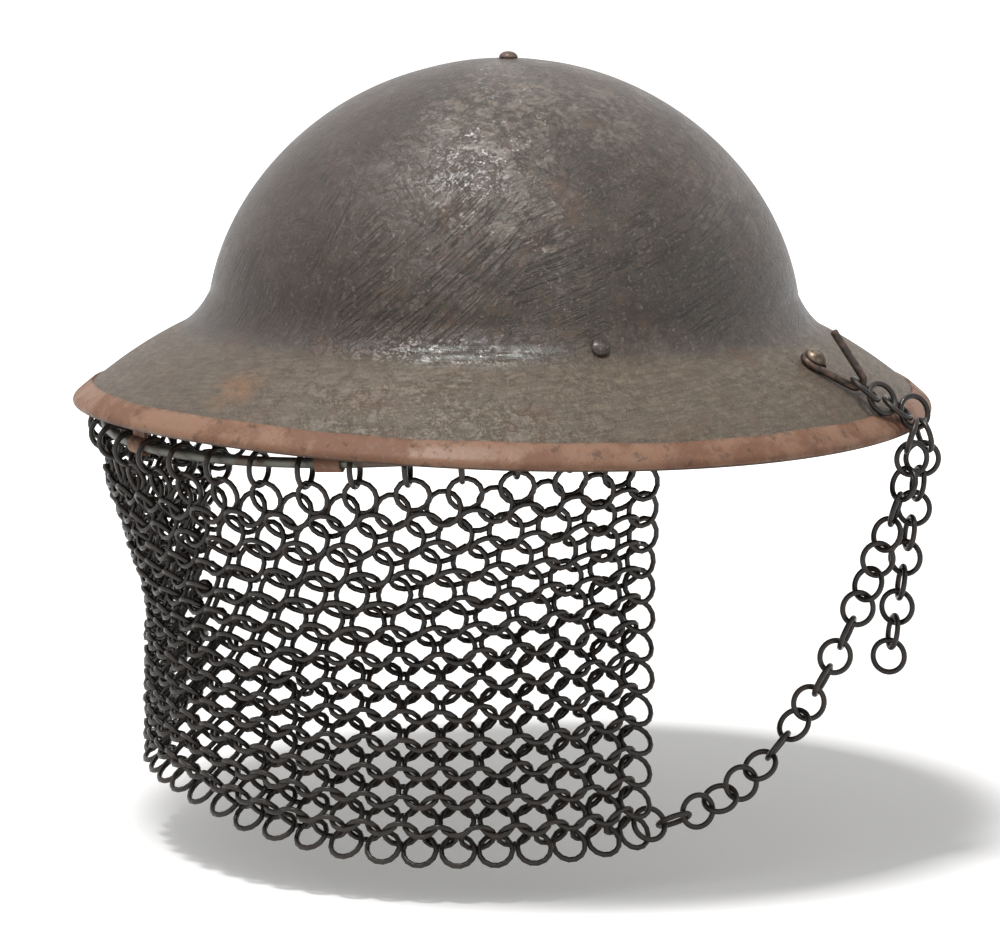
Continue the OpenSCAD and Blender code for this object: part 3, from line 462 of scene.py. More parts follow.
def surface_axes(r, turn):
    """Point on the shell and its outward, sideways and normal directions there."""
    step = 1e-4
    here = on_shell(r, turn)
    outward = unit(on_shell(r + step, turn) - on_shell(r - step, turn))
    round_it = on_shell(r, turn + 0.002) - on_shell(r, turn - 0.002)
    normal = unit(np.cross(outward, round_it))
    return here, outward, np.cross(normal, outward), normal


def lathe(name, outline, place, crease=35, columns=40):
    """Solid of revolution: an outline of (radius, height) turned about the normal of a
    place, which is a point and three directions."""
    here, x, y, z = place
    angle = full_turn(columns)
    ring = np.cos(angle)[:, None] * x + np.sin(angle)[:, None] * y
    outline = np.asarray(outline)
    grid = here + outline[:, 0, None, None] * ring[None] + outline[:, 1, None, None] * z
    return skin(name, grid, crease=crease)


def rivet_outline(head, rise, grip, tail):
    """Domed head over a shank, and a set tail with a rounded edge below the grip."""
    arc = np.radians(np.arange(0, 91, 9))
    return ([(0, -grip - SET_TAIL), (tail / 2 - TAIL_ROUND, -grip - SET_TAIL),
             (tail / 2, -grip - SET_TAIL + 0.0005), (tail / 2, -grip), (RIVET_SHANK / 2, -grip),
             (RIVET_SHANK / 2, HEAD_REST), (head / 2 - 0.0001, HEAD_REST)]
            + [(head / 2 * math.cos(a), 0.0003 + (rise - 0.0003) * math.sin(a)) for a in arc])


crown_place = (np.array([0, 0, SHELL_CROWN - CROWN_SEAT]), *np.eye(3))
rivet_paint = Paint("painted_rivet", roughness=0.45, metallic=0.3)
chipped = rivet_paint.noise(700, 4).band(0.47, 0.58)
rivet_paint.colour(rivet_paint.mix(chipped, RIVET_BROWN, RIVET_CHIP))
rivet_paint.bump(chipped, 0.0001)
crown_grip = SHELL_WALL + 2 * STRAP_SHEET + WASHER_SHEET + CROWN_SPARE
crown_outline = rivet_outline(CROWN_HEAD, CROWN_RISE, crown_grip, CROWN_TAIL)
crown_rivet = lathe("crown_rivet_turned", crown_outline, crown_place)
rivet_paint.on(crown_rivet)
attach(crown_rivet, "helmet")
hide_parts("crown_rivet")
dull_steel = Paint("dull_steel", roughness=0.42, metallic=0.8)
dull_steel.colour(dull_steel.mix(dull_steel.noise(400, 4).band(0.45, 0.6),
                                 (0.30, 0.28, 0.25), (0.17, 0.13, 0.10)))
dull_steel.on(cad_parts["crown_washer"])
for side, sign in (("left", 1), ("right", -1)):
    here, x, y, z = surface_axes(BAIL_RADIUS, sign * BAIL_TURN)
    outline = rivet_outline(BAIL_HEAD, BAIL_RISE, SHELL_WALL + LUG_SHEET + BAIL_SPARE, BAIL_TAIL)
    bail_rivet = lathe(f"bail_rivet_{side}_turned", outline, (here + BAIL_LIFT * z, x, y, z))
    old_paint.on(bail_rivet)
    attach(bail_rivet, "helmet")
    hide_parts(f"bail_rivet_{side}")
    rivet_paint.on(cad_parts[f"bail_lug_{side}"])


# Bails. Small closed loops of steel wire that hinge in their folded lugs under the brow
# and take the ends of the chinstrap.
BAIL_WIRE, BAIL_WIDTH, BAIL_DROP, BAIL_CORNER = 0.0024, 0.020, 0.013, 0.003
LUG_HALF, LUG_DROP, LUG_GAP = 0.0045, 0.004, 0.0002


def tube(name, line, thickness, closed=False, columns=12):
    """Round wire along a line of points. The section is carried along by turning it
    with the line's direction, so that it doesn't twist. Open ends are rounded off."""
    line = np.asarray(line, float)
    ahead_by = np.roll(line, -1, 0) - np.roll(line, 1, 0)
    if not closed:
        ahead_by[0], ahead_by[-1] = line[1] - line[0], line[-1] - line[-2]
    ahead_by = unit(ahead_by)
    side = np.cross(ahead_by[0], [0.31, 0.22, 0.92])
    sides = []
    for direction in ahead_by:
        side = unit(side - direction * (side @ direction))
        sides.append(side)
    sides = np.array(sides)
    others = np.cross(ahead_by, sides)
    angle = full_turn(columns)
    grid = line[:, None] + thickness / 2 * (np.cos(angle)[None, :, None] * sides[:, None]
                                            + np.sin(angle)[None, :, None] * others[:, None])
    if not closed:
        soft_end = [(0.096, 0.92), (0.16, 0.55), (0.1792, 0.0)]
        first, last = ([centre + (ring - centre) * k + way * thickness * t for t, k in soft_end]
                       for centre, ring, way in ((line[0], grid[0], -ahead_by[0]),
                                                 (line[-1], grid[-1], ahead_by[-1])))
        grid = np.concatenate([first[::-1], grid, last])
    return skin(name, grid, round_rows=closed)


def rounded_loop(width, height, corner):
    """Closed outline of a rectangle with round corners, its top edge's middle at 0, 0."""
    corners = [(width / 2 - corner, -corner, 90), (-width / 2 + corner, -corner, 180),
               (-width / 2 + corner, -height + corner, 270), (width / 2 - corner, -height + corner, 360)]
    return np.array([(across + corner * math.cos(a), up + corner * math.sin(a))
                     for across, up, end in corners for a in np.radians(np.linspace(end - 90, end, 9))])


lug_slope = math.atan(float(shell_slope(BAIL_RADIUS)))
lug_depth = SHELL_WALL + LUG_GAP + LUG_SHEET / 2
bail_out = LUG_HALF * math.cos(lug_slope) + lug_depth * math.sin(lug_slope)
bail_up = LUG_HALF * math.sin(lug_slope) - lug_depth * math.cos(lug_slope) - LUG_DROP
wire_steel = Paint("dark_wire", roughness=0.4, metallic=0.7)
wire_steel.colour(wire_steel.mix(wire_steel.noise(300, 4).band(0.48, 0.6),
                                 (0.075, 0.062, 0.052), (0.14, 0.085, 0.055)))
wire_steel.bump(wire_steel.noise(900, 3), 0.00008)
for side, sign in (("left", 1), ("right", -1)):
    here, outward, _, _ = surface_axes(BAIL_RADIUS, sign * BAIL_TURN)
    out = unit(outward * [1, 1, 0])
    hinge = here + out * bail_out + [0, 0, bail_up]
    across = np.cross([0, 0, 1], out)
    outline = rounded_loop(BAIL_WIDTH, BAIL_DROP, BAIL_CORNER)
    bail = tube(f"bail_{side}_loop", hinge + outline[:, :1] * across + outline[:, 1:] * [0, 0, 1],
                BAIL_WIRE, closed=True)
    wire_steel.on(bail)
    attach(bail, f"bail_{side}")
    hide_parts(f"bail_{side}")


# Lining. Two crossed web straps hang from the crown rivet and are sewn to the headband.
# A rubber ring cushions the crown above a cotton cloth that a drawstring gathers.
STRAP_WIDTH, STRAP_LOW, WAVE_SCALE = 0.028, 0.050, 0.314
DRAW_IN_RISE, DRAW_IN_RUN = 0.022, 0.026
HEADBAND_TOP, BAND_SPACE, FELT_SHEET, HEADBAND_SHEET = 0.062, 0.0096, 0.0014, 0.0014
RING_MEAN, RING_WIRE = 0.078, 0.011
STRING_MEAN, STRING_WIRE = 0.044, 0.003
CLOTH_SHEET, FELT_SHORT, CLOTH_LIFT = 0.0012, 0.002, 0.0015
LEVEL_POINTS = 96


def dome_reach(z):
    """Mean radius of the dome's outside at height z over the brim's edge."""
    return DOME_RADIUS * np.sqrt(1 - ((z - BROW_HEIGHT) / (SHELL_CROWN - BROW_HEIGHT)) ** DOME_POWER)


def woven(name, colour, thread):
    """Plain weave: two crossed waves, one thread apart, under a little soiling."""
    cloth = Paint(name, roughness=0.85, Sheen_Weight=0.15)
    waves = [Value(cloth, cloth.node("ShaderNodeTexWave", {"bands_direction": axis, "wave_profile": "SIN"},
                                     {"Vector": cloth.place, "Scale": WAVE_SCALE / thread,
                                      "Distortion": 0.6}).outputs[1])
             for axis in ("X", "Y", "Z")]
    weave = waves[0] * waves[1] * 0.6 + waves[2] * 0.4
    soiled = cloth.noise(70, 5, 0.6).band(0.42, 0.66)
    cloth.colour(cloth.mix(soiled * 0.7 + weave * 0.2, colour, [c * 0.6 for c in colour]))
    cloth.bump(weave, thread * 0.35)
    return cloth


def strap_points(first, second, depth, band_depth):
    """Points under the dome at plan position first, second. The strap hugs the dome at
    the crown and is drawn in to the headband below, over a smooth step of height."""
    r = np.hypot(first, second)
    slope = shell_slope(r)
    stretch = np.sqrt(1 + slope * slope)
    z = shell_height(r)
    t = np.clip((HEADBAND_TOP + DRAW_IN_RISE - z) / DRAW_IN_RUN, 0, 1)
    lift = -(depth + (band_depth - depth) * t * t * (3 - 2 * t))
    k = 1 - lift * slope / stretch / np.maximum(r, 1e-3)
    return np.stack([PLAN_X * first * k, PLAN_Y * second * k, z + lift / stretch - CROWN_SEAT], -1)


webbing = woven("cotton_webbing", (0.30, 0.26, 0.19), 0.0012)
strap_end = math.asin(math.sqrt(
    1 - ((STRAP_LOW - BROW_HEIGHT) / (SHELL_CROWN - BROW_HEIGHT)) ** DOME_POWER))
in_depth = SHELL_WALL + BAND_SPACE - FELT_SHEET - 0.0003
along = DOME_RADIUS * np.sin(np.linspace(-strap_end, strap_end, 61))
across_strap = np.linspace(-STRAP_WIDTH / 2, STRAP_WIDTH / 2, 9)
for name, depth, lengthways in (("strap_cross", SHELL_WALL + 0.0004, False),
                                ("strap_long", SHELL_WALL + 0.0007 + STRAP_SHEET, True)):
    u, v = np.meshgrid(along, across_strap, indexing="ij")
    pair = (v, u) if lengthways else (u, v)
    top = strap_points(*pair, depth, in_depth - STRAP_SHEET)
    low = strap_points(*pair, depth + STRAP_SHEET, in_depth)
    strap = skin(name + "_web", np.concatenate([top, low[:, ::-1]], 1), crease=60)
    webbing.on(strap)
    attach(strap, "helmet")
    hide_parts(name)


def lining_ring(name, low_z, top_z, depth, thick):
    """Band inside the dome between two heights, at a depth under the shell's outside."""
    turn = -full_turn(192)[None]
    r = np.minimum(dome_reach(np.linspace(top_z, low_z, 10)), DOME_END)[:, None]
    walls = [on_shell(r, turn, -depth), on_shell(r, turn, -depth - thick)[::-1]]
    return skin(name, np.concatenate(walls), round_rows=True, crease=50)


low_fit = float(shell_height(DOME_END))
band_depth = SHELL_WALL + BAND_SPACE
headband = lining_ring("headband_oilcloth", low_fit, HEADBAND_TOP, band_depth + 0.0003, HEADBAND_SHEET)
oilcloth = Paint("black_oilcloth", roughness=0.38, Coat_Weight=0.15)
cells = oilcloth.node("ShaderNodeTexVoronoi", {"feature": "DISTANCE_TO_EDGE"},
                      {"Vector": oilcloth.place, "Scale": 900.0})
leather_grain = Value(oilcloth, cells.outputs[0]).band(0.0, 0.25)
crazed = oilcloth.noise(80, 6, 0.7).band(0.55, 0.66)
oilcloth.colour(oilcloth.mix(crazed, (0.03, 0.026, 0.022), (0.085, 0.065, 0.045)))
oilcloth.bump(leather_grain * 0.6 - 0.6 * crazed, 0.00018)
oilcloth.on(headband)
felt = lining_ring("headband_felt_band", low_fit, HEADBAND_TOP - FELT_SHORT,
                   band_depth - FELT_SHEET, FELT_SHEET)
wool = Paint("grey_felt", roughness=0.95, Sheen_Weight=0.3)
wool.colour(wool.mix(wool.noise(120, 5).band(0.4, 0.65), (0.25, 0.235, 0.20), (0.15, 0.135, 0.11)))
wool.bump(wool.noise(1500, 4, 0.7), 0.0004)
wool.on(felt)
rubber = Paint("aged_rubber", roughness=0.7)
rubber.colour(rubber.mix(rubber.noise(150, 5).band(0.45, 0.62),
                         (0.045, 0.042, 0.038), (0.10, 0.088, 0.07)))
rubber.bump(rubber.noise(600, 4), 0.0002)
rubber.on(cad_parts["rubber_buffers"])


def level_ring(radius, z):
    """Points of a level circle at height z over the brim's edge."""
    turn = full_turn(LEVEL_POINTS)
    return np.stack([radius * np.cos(turn), radius * np.sin(turn),
                     np.full(LEVEL_POINTS, z - CROWN_SEAT)], -1)


cloth_turn = -full_turn(288)[None]
climb = np.linspace(np.pi / 2, 0, 34)[:, None]
share = np.sin(climb)
low_cloth = HEADBAND_TOP + CLOTH_LIFT
string_z = CROWN_SEAT - 0.001
cloth_reach = dome_reach(HEADBAND_TOP) - band_depth - HEADBAND_SHEET / 2
cloth_rise = string_z + STRING_WIRE / 2 + 0.0003 - low_cloth
seat_share = math.sqrt(1 - ((RING_MEAN - STRING_MEAN) / 2 / (cloth_reach - STRING_MEAN / 2)) ** 2)
ring_z = low_cloth + (cloth_rise + CLOTH_SHEET) * seat_share + RING_WIRE / 2 + 0.0002
crown_pad = tube("crown_ring_rubber", level_ring(RING_MEAN / 2, ring_z), RING_WIRE,
                 closed=True, columns=28)
rubber.on(crown_pad)


def cloth_points(lift):
    """Quarter of a flattened dome from the headband up to the drawstring, with gathers
    that die out as the cloth spreads."""
    gather = 0.0007 * np.sin(36 * cloth_turn) * share ** 3
    r = STRING_MEAN / 2 + (cloth_reach - STRING_MEAN / 2 + lift + gather) * np.cos(climb)
    kx, ky = PLAN_X + (1 - PLAN_X) * share, PLAN_Y + (1 - PLAN_Y) * share
    z = low_cloth + cloth_rise * share + (lift + gather) * share
    return np.stack([kx * r * np.sin(cloth_turn), -ky * r * np.cos(cloth_turn), z - CROWN_SEAT], -1)


cloth_grid = np.concatenate([cloth_points(CLOTH_SHEET), cloth_points(0.0)[::-1]])
cloth = skin("crown_cloth_gathered", cloth_grid, round_rows=True, crease=60)
cotton = woven("soiled_cotton", (0.36, 0.33, 0.27), 0.0009)
cotton.on(cloth)
cloth_line = cloth_points(CLOTH_SHEET / 2)
string = tube("drawstring_cord", level_ring(STRING_MEAN / 2 + 0.002, string_z), STRING_WIRE,
              closed=True, columns=12)
cord_yarn = woven("cotton_cord", (0.55, 0.48, 0.36), 0.0007)
cord_yarn.on(string)
for piece, node, slot in ((headband, "headband", "oilcloth"), (felt, "headband_felt", "felt"),
                          (crown_pad, "crown_ring", "rubber"), (cloth, "crown_cloth", "crown_cloth"),
                          (string, "drawstring", "cord")):
    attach(piece, "helmet")
    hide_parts(node)


# Visor rod and clips. A bent wire rod runs under the front half of the brim, held by
# short folded clips whose tabs are gripped in the fold of the rim band.
ROD_RADIUS, ROD_WIRE, ROD_FORWARD, ROD_FRONT = 0.1262, 0.0036, 0.0161, -0.0064
ROD_TILT, ROD_HALF = math.radians(6), math.radians(87)
rod_middle = np.array([0, -ROD_FORWARD, ROD_FRONT + ROD_RADIUS * math.sin(ROD_TILT) - CROWN_SEAT])


def rod_out(turn):
    """Unit direction from the rod's centre at an angle from the front, in its plane. A
    quarter turn on, it is the direction along the rod."""
    return np.stack([np.sin(turn), -np.cos(turn) * math.cos(ROD_TILT),
                     -np.cos(turn) * math.sin(ROD_TILT)], -1)


rod_turns = np.linspace(-ROD_HALF + 0.004, ROD_HALF - 0.004, 121)
rod = tube("visor_rod_wire", rod_middle + ROD_RADIUS * rod_out(rod_turns), ROD_WIRE, columns=16)
rod_steel = Paint("greened_rod_steel", roughness=0.42, metallic=0.55)
rod_steel.colour(rod_steel.mix(rod_steel.noise(140, 4).band(0.44, 0.6),
                               (0.115, 0.12, 0.10), (0.085, 0.06, 0.045)))
rod_steel.bump(rod_steel.noise(900, 3), 0.0001)
rod_steel.on(rod)
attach(rod, "helmet")
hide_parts("visor_rod")
band_paint.on(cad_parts["rod_clips"])


# Mail. Rings of dark steel wire, butted shut, four linked in every one. Odd rows lean
# one way and even rows the other. The curtain hangs from single rings on the rod.
RING_OUTER, RING_THICK = 0.0131, 0.00195
RING_RADIUS = (RING_OUTER - RING_THICK) / 2
COLUMN_STEP, LOW_STEP = math.radians(8), math.radians(6.93)
LOW_TURN, LOW_RADIUS, LOW_FORWARD = math.radians(20.2), 0.105, 0.019
LOW_TILT, BLEND_DROP = math.radians(9), 0.075
COLUMNS, MAIL_ROWS, LOW_COLUMN = 22, 13, 8
MIDDLE_COLUMN = (COLUMNS - 1) / 2
STRIP_FIRST = [0, 3, 6, 9, 13, 16, 19, 22]
FIRST_DROP, LAST_DROP, LEFT_FALL, RIGHT_FALL = 0.0118, 0.118, 0.00205, 0.0009
USUAL_LEAN, USUAL_STEP, USUAL_PITCH, LEAST_LEAN, MOST_LEAN = 48, 0.0041, 0.0127, 22, 50
LEAN_BY_STEP, LEAN_BY_PITCH, TOP_LEAN = 9800, 4400, 6.0
LOOSE_TILT, LOOSE_PLACE = 0.055, 0.00018


def mail_place(column, drop):
    """Point of the curtain at a column and a drop under the rod. Its plan goes smoothly
    from the rod's circle to a smaller one that is turned towards the wearer's left."""
    column, drop = np.broadcast_arrays(np.asarray(column, float), np.asarray(drop, float))
    t = np.clip(drop / BLEND_DROP, 0, 1)
    w = t * t * (3 - 2 * t)
    top_turn = (column - MIDDLE_COLUMN) * COLUMN_STEP
    turn = top_turn + (LOW_TURN + (column - MIDDLE_COLUMN) * LOW_STEP - top_turn) * w
    r = ROD_RADIUS + (LOW_RADIUS - ROD_RADIUS) * w
    squash = math.cos(ROD_TILT) + (1 - math.cos(ROD_TILT)) * w
    tilt = math.sin(ROD_TILT) + (math.sin(LOW_TILT) - math.sin(ROD_TILT)) * w
    forward = ROD_FORWARD + (LOW_FORWARD - ROD_FORWARD) * w
    return np.stack([r * np.sin(turn), -forward - r * squash * np.cos(turn),
                     ROD_FRONT + ROD_RADIUS * tilt * (1 - np.cos(top_turn)) - drop - CROWN_SEAT], -1)


def mail_axes(column, drop):
    """Unit directions of the curtain: along a row, down a column, and out of it."""
    row = unit(mail_place(column + 0.1, drop) - mail_place(column - 0.1, drop))
    fall = mail_place(column, drop + 0.001) - mail_place(column, drop - 0.001)
    out = unit(np.cross(row, fall))
    return row, np.cross(out, row), out


def wire_rings(name, centres, normals, tones, around=14, section=5):
    """Rings of round wire as one mesh: a small circle carried round a larger one in the
    plane of each normal. Each ring keeps a tone from 0 to 1 as an attribute."""
    centres, normals = np.asarray(centres, float), unit(np.asarray(normals, float))
    first = unit(np.cross(normals, [0.3, 0.2, 0.9]))
    second = np.cross(normals, first)
    a = full_turn(around)[None, :, None, None]
    b = full_turn(section)[None, None, :, None]
    spoke = np.cos(a) * first[:, None, None] + np.sin(a) * second[:, None, None]
    points = (centres[:, None, None] + spoke * (RING_RADIUS + RING_THICK / 2 * np.cos(b))
              + normals[:, None, None] * RING_THICK / 2 * np.sin(b)).reshape(-1, 3)
    i, j = np.meshgrid(np.arange(around), np.arange(section), indexing="ij")
    beyond, beside = (i + 1) % around * section, (j + 1) % section
    quad = np.stack([i * section + j, beyond + j, beyond + beside, i * section + beside], -1)
    each = around * section
    quads = (quad.reshape(1, -1, 4) + (np.arange(len(centres)) * each)[:, None, None]).reshape(-1, 4)
    piece = mesh_piece(name, points.tolist(), quads.tolist())
    tone = piece.data.attributes.new("ring_tone", "FLOAT", "POINT")
    tone.data.foreach_set("value", np.repeat(np.asarray(tones, np.float32), each))
    return piece


draw = np.random.default_rng(11)
columns, drops, leans = [], [], []
for row in range(2 * MAIL_ROWS):
    odd = row % 2 == 1
    s = np.arange(COLUMNS + 1) - 0.5 if odd else np.arange(COLUMNS, dtype=float)
    last_drop = LAST_DROP + np.where(s >= LOW_COLUMN, LEFT_FALL * (s - LOW_COLUMN),
                                     RIGHT_FALL * (LOW_COLUMN - s))
    step = (last_drop - FIRST_DROP) / (2 * MAIL_ROWS - 1)
    drop = FIRST_DROP + row * step
    pitch = np.linalg.norm(mail_place(s + 0.5, drop) - mail_place(s - 0.5, drop), axis=1)
    lean = np.clip(USUAL_LEAN - LEAN_BY_STEP * (step - USUAL_STEP) - LEAN_BY_PITCH * (pitch - USUAL_PITCH),
                   LEAST_LEAN, MOST_LEAN)
    lean = np.full(len(s), TOP_LEAN) if row == 0 else lean
    columns.append(s)
    drops.append(drop)
    leans.append(np.radians(lean) * (1 if odd else -1))
ring_column, ring_drop, ring_lean = (np.concatenate(x) for x in (columns, drops, leans))
ring_centre = mail_place(ring_column, ring_drop)
row_way, down_way, out_way = mail_axes(ring_column, ring_drop)
up_in_ring = (-down_way * np.cos(ring_lean)[:, None] + out_way * np.sin(ring_lean)[:, None])
ring_normal = np.cross(row_way, up_in_ring)
ring_normal += draw.normal(0, LOOSE_TILT, ring_normal.shape)
ring_centre += draw.normal(0, LOOSE_PLACE, ring_centre.shape)
ring_tone = draw.random(len(ring_column))

mail_steel = Paint("oiled_ring_steel", roughness=0.32, Specular_IOR_Level=0.36)
by_ring = mail_steel.attribute("ring_tone")
rusty = mail_steel.noise(160, 4, 0.6).band(0.48, 0.62)
mail_tone = mail_steel.mix(by_ring, (0.012, 0.0095, 0.008), (0.026, 0.021, 0.017))
mail_steel.colour(mail_steel.mix(rusty * 0.5, mail_tone, (0.045, 0.030, 0.023)))
mail_steel.feed(mail_steel.shader.inputs["Roughness"], 0.24 + 0.20 * rusty + 0.08 * by_ring)
mail_steel.bump(mail_steel.noise(1400, 3), 0.00006)

# Eight meshes over seven strips. The six inner ones span from one strip's middle column to
# the next one's, with their places baked into their points; the two outer ones ride the end strips.
middles = [(STRIP_FIRST[k] + STRIP_FIRST[k + 1] - 1) / 2 for k in range(7)]
edges = [-1.0] + middles + [COLUMNS + 1.0]
for k in range(8):
    chosen = (ring_column >= edges[k]) & (ring_column < edges[k + 1])
    part = wire_rings(f"mail_{k + 1}", ring_centre[chosen], ring_normal[chosen], ring_tone[chosen])
    mail_steel.on(part)
    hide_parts(f"mail_strip_{min(k + 1, 7)}")
    if k in (0, 7):
        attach(part, "curtain_1" if k == 0 else "curtain_7")
        continue
    ends = [mail_place(middles[k - 1 + e], np.array([0.02, 0.065, 0.12])) for e in (0, 1)]
    slant = unit(sum(e[2] - e[0] for e in ends))
    between = ends[1][1] - ends[0][1]
    between = between - slant * (between @ slant)
    tuple(ends[0][1] + between)
    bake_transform(part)


# Hanger rings. Single rings of the same wire, one to a column, that ride on the rod and
# carry the curtain's top row.
HANGER_PLAY = 0.0004
HANGER_DROP = RING_OUTER / 2 - RING_THICK - ROD_WIRE / 2 - HANGER_PLAY
for k in range(7):
    s = np.arange(STRIP_FIRST[k], STRIP_FIRST[k + 1])
    turn = (s - MIDDLE_COLUMN) * COLUMN_STEP
    centres = rod_middle + ROD_RADIUS * rod_out(turn) - [0, 0, HANGER_DROP]
    hangers = wire_rings(f"hangers_{k + 1}_wire", centres, rod_out(turn + np.pi / 2),
                         draw.random(len(s)), around=28, section=10)
    mail_steel.on(hangers)
    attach(hangers, f"curtain_{k + 1}")
    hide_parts(f"hangers_{k + 1}")


# Hook and its rivet. A wire hook with an open eye turns round a brassy domed rivet on the
# brim. Its free leg stands up and back over the shank and holds the chain.
HOOK_TURN, HOOK_RADIUS, HOOK_SWING = math.radians(120), 0.1207, math.radians(27)
HOOK_WIRE, HOOK_REACH, HOOK_LEG, EYE_PLAY = 0.0027, 0.015, 0.019, 0.0003
HOOK_BEND, HOOK_BEND_TURN = 0.0027, math.radians(150)
HOOK_HEAD, HOOK_RISE, HOOK_TAIL, HOOK_SPARE = 0.0084, 0.003, 0.006, 0.0006
BRASS, BRASS_BROWN = (0.19, 0.145, 0.10), (0.085, 0.062, 0.046)
here, x, y, z = surface_axes(HOOK_RADIUS, HOOK_TURN)
shank_way = x * math.cos(HOOK_SWING) + y * math.sin(HOOK_SWING)
side_way = y * math.cos(HOOK_SWING) - x * math.sin(HOOK_SWING)
eye_radius = RIVET_SHANK / 2 + HOOK_WIRE / 2 + EYE_PLAY
eye_arc = np.linspace(0.02, 1.5 * np.pi, 28)
hook_flat = [(eye_radius * math.cos(a), eye_radius * math.sin(a), 0) for a in eye_arc]
hook_flat += [(t, -eye_radius, 0) for t in np.linspace(0.001, HOOK_REACH, 10)]
hook_flat += [(HOOK_REACH + HOOK_BEND * math.sin(a), -eye_radius, HOOK_BEND * (1 - math.cos(a)))
              for a in np.linspace(0.15, HOOK_BEND_TURN, 14)]
end_x, _, end_z = hook_flat[-1]
hook_flat += [(end_x + t * math.cos(HOOK_BEND_TURN), -eye_radius, end_z + t * math.sin(HOOK_BEND_TURN))
              for t in np.linspace(0.001, HOOK_LEG - 0.0003, 12)]
hook_flat = np.array(hook_flat)
hook_line = (here + hook_flat[:, :1] * shank_way + hook_flat[:, 1:2] * side_way
             + (hook_flat[:, 2:] + HOOK_WIRE / 2 + 0.00015) * z)
hook = tube("hook_wire_bent", hook_line, HOOK_WIRE, columns=14)
hook_steel = Paint("browned_hook_steel", roughness=0.5, metallic=0.5)
hook_rust = hook_steel.noise(350, 5, 0.65).band(0.44, 0.6)
hook_steel.colour(hook_steel.mix(hook_rust, (0.05, 0.040, 0.034), (0.115, 0.070, 0.052)))
hook_steel.bump(hook_rust, 0.00015)
hook_steel.on(hook)
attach(hook, "hook")
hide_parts("hook")
hook_grip = SHELL_WALL + HOOK_WIRE + HOOK_SPARE
hook_rivet = lathe("hook_rivet_turned", rivet_outline(HOOK_HEAD, HOOK_RISE, hook_grip, HOOK_TAIL),
                   (here + z * (HOOK_WIRE + EYE_PLAY), x, y, z))
dull_brass = Paint("dull_brass", roughness=0.42, metallic=0.6)
dull_brass.colour(dull_brass.mix(dull_brass.noise(500, 4).band(0.42, 0.58), BRASS, BRASS_BROWN))
dull_brass.bump(dull_brass.noise(700, 3), 0.00012)
dull_brass.on(hook_rivet)
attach(hook_rivet, "helmet")
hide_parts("hook_rivet")


# Chain. Single rings of the mail's wire from the curtain's lower corner up over the rim to
# the hook, in half a catenary, with a spare tail that hangs from the ring over the rim.
# Places are in millimetres from the level of the brim's edge, followed by each ring's normal.
MM, CHAIN_PITCH, STRAND_RINGS, TAIL_RINGS = 0.001, 0.00908, 19, 9
CORNER_DROP, LINK_IN, RING_SET, TAIL_SLACK = 0.122, 0.0010, 110, 0.96
TAIL_WAY = np.array([-0.07, -0.12, -0.99])
LEAD = [([115, 75.4, 14.9], [0.35, 0.52, 0.78]), ([116.3, 81.5, 11.5], [0.87, 0.14, 0.48]),
        ([116, 88.2, 7.9], [0.39, 0.44, 0.81]), ([116.5, 94.9, 6.2], [0.95, 0.01, 0.31])]
STRAND_START = [([118.91, 92.27, -1.7], [0.57, 0.77, -0.29]), ([119.5, 92.2, -9.4], [0.98, -0.2, -0.01])]
TAIL_START = [([117.71, 98.39, -1.8], [0.2, 0.94, 0.28]), ([116.6, 98.6, -10.1], [0.85, -0.53, 0.02])]
STRAND_TURN = [0, 55, 105, 45, -15, 45, -15, -75, -15, -75, -15, 45, 100, 45, -15, 40, -20, -80, 10]
TAIL_TURN = [0, 55, 0, 60, 10, 65, 5, 60, 0]


def placed(rings):
    """Centres in metres from the helmet's origin, and normals, of listed rings."""
    return ([np.array(c) * MM - [0, 0, CROWN_SEAT] for c, _ in rings], [np.array(n) for _, n in rings])


def hanging_normal(way, turn):
    """Normal of a ring that hangs along way, turned about it by turn degrees."""
    way = unit(way)
    flat = unit(np.cross([0, 0, 1], way))
    t = math.radians(turn + RING_SET)
    return np.cross(way, flat * math.cos(t) + np.cross(way, flat) * math.sin(t))


lead = placed(LEAD)
strand, strand_ways = placed(STRAND_START)
corner = mail_place(COLUMNS - 0.5, CORNER_DROP + LEFT_FALL * (COLUMNS - 0.5 - LOW_COLUMN))
towards = (corner - strand[1]) * [1, 1, 0]
span = np.linalg.norm(towards) - RING_OUTER / 2 + LINK_IN
towards = unit(towards)
full = (STRAND_RINGS - 1) * CHAIN_PITCH

# Newton's method for the catenary's scale, from the chain's length and its level span.
scale = span / 2
for _ in range(8):
    ratio = full / scale
    scale += (span - scale * math.asinh(ratio)) / (math.asinh(ratio) - ratio / math.hypot(ratio, 1))
start = strand[1]
for k in range(1, STRAND_RINGS):
    arc = full - k * CHAIN_PITCH
    strand.append(start + towards * (span - scale * math.asinh(arc / scale))
                  + [0, 0, math.hypot(scale, arc) - math.hypot(scale, full)])
    strand_ways.append(hanging_normal(towards * scale - [0, 0, arc], STRAND_TURN[k]))
tail, tail_ways = placed(TAIL_START)
tail_step = unit(TAIL_WAY) * CHAIN_PITCH * TAIL_SLACK
start = tail[1]
for k in range(1, TAIL_RINGS):
    tail.append(start + tail_step * k)
    tail_ways.append(hanging_normal(tail_step, TAIL_TURN[k]))
for name, node, (centres, ways), body in (
        ("chain_lead_rings", "chain_lead", lead, "helmet"),
        ("chain_strand_rings", "chain_strand", (strand, strand_ways), "chain_strand"),
        ("chain_tail_rings", "chain_tail", (tail, tail_ways), "chain_tail")):
    rings = wire_rings(name, centres, ways, draw.random(len(centres)), around=32, section=12)
    mail_steel.on(rings)
    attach(rings, body)
    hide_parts(node)


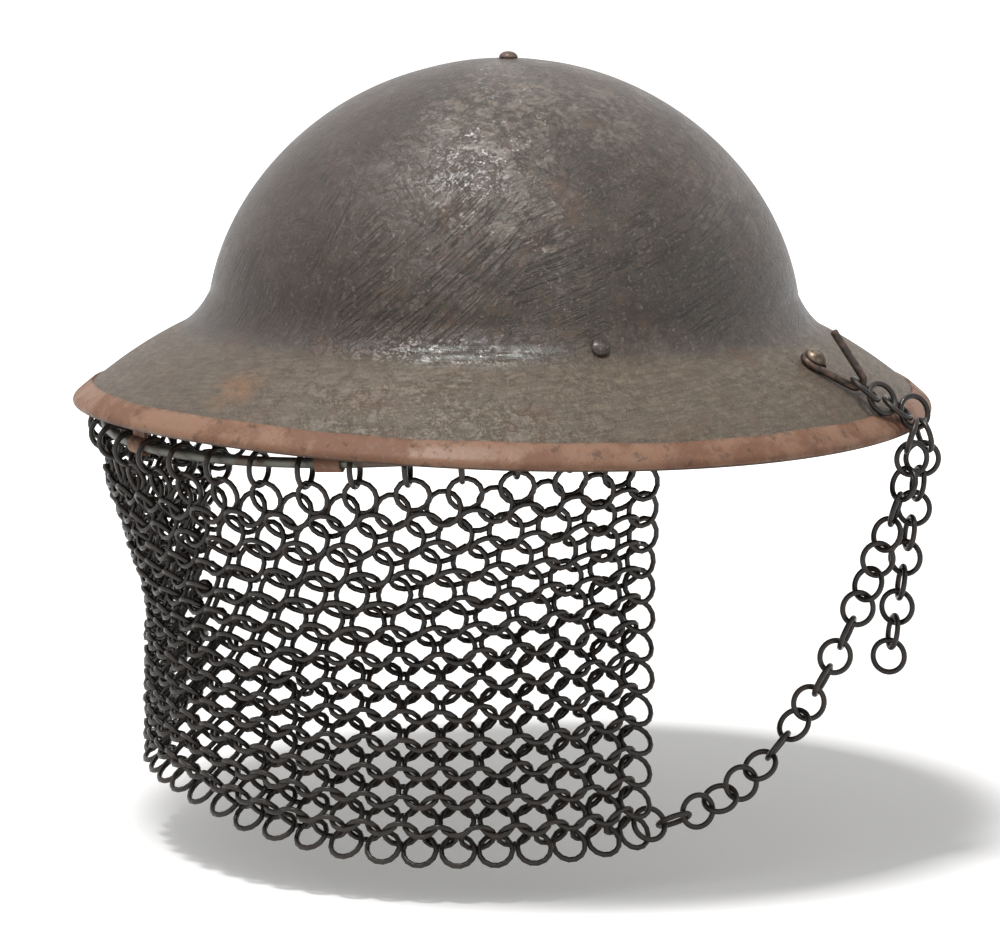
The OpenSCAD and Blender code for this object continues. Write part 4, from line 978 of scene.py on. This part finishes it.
# Floor. A plain white level sheet a little below the hanging helmet. It keeps the shadow
# and turns fully white to the eye, and in mirrors, further out.
FLOOR_DROP, FLOOR_HALF, SHADOW_REACH, WHITE_REACH = 0.245, 6, 0.35, 1.1


def seen_rays(nodes):
    """The largest of three flags: a ray from the camera, by a mirror, or through glass."""
    rays = nodes.node("ShaderNodeLightPath").outputs
    mask = Value(nodes, rays["Is Camera Ray"])
    for other in ("Is Glossy Ray", "Is Transmission Ray"):
        mask = mask.op("MAXIMUM", mask, rays[other])
    return mask


corners = [(a * FLOOR_HALF, b * FLOOR_HALF, -FLOOR_DROP)
           for a, b in ((-1, -1), (1, -1), (1, 1), (-1, 1))]
floor = mesh_piece("floor", corners, [(0, 1, 2, 3)])
floor_paint = Paint("white_floor", roughness=0.9)
floor_paint.colour((0.9, 0.895, 0.885))
far_off = 1 - floor_paint.near((0, 0, -FLOOR_DROP), SHADOW_REACH, WHITE_REACH)
floor_paint.feed(floor_paint.shader.inputs["Emission Color"],
                 floor_paint.mix(far_off, (0.22, 0.22, 0.22), (0.8, 0.8, 0.8)))
floor_paint.feed(floor_paint.shader.inputs["Emission Strength"], seen_rays(floor_paint))
floor_paint.on(floor)


# Light. An even white room, seen white by the camera and by mirrors, a small lamp high in
# front for the dome's shine, and a weak wide one low to the left.
ROOM_LIGHT = 0.34
world = bpy.data.worlds.new("white_room")
world.use_nodes = True
bpy.context.scene.world = world
room = Nodes(world.node_tree)
plain, seen = room.tree.nodes["Background"], room.node("ShaderNodeBackground")
for background, strength in ((plain, ROOM_LIGHT), (seen, 1.0)):
    room.feed(background.inputs["Color"], (1, 1, 1, 1))
    room.feed(background.inputs["Strength"], strength)
view = room.node("ShaderNodeMixShader", None,
                 {0: seen_rays(room), 1: plain.outputs[0], 2: seen.outputs[0]})
room.feed(room.tree.nodes["World Output"].inputs["Surface"], view.outputs[0])


def soft_lamp(name, place, aim, size, power):
    """Square area lamp at a place, turned towards a point."""
    light = bpy.data.lights.new(name, "AREA")
    light.size, light.energy = size, power
    lamp = bpy.data.objects.new(name, light)
    way = unit(np.asarray(aim, float) - place)
    side = unit(np.cross(way, [0, 0, 1]))
    set_up(lamp, side, np.cross(side, way), -way, place)


front = unit(-ahead * [1, 1, 0])
soft_lamp("top_lamp", front * 0.55 - level * 0.5 + [0, 0, 2.5], aim=(0, 0, -0.05), size=0.6, power=78)
soft_lamp("left_lamp", front * 1.3 - level * 1.6 + [0, 0, 1.7], aim=(0, 0, -0.1), size=1.4, power=5)
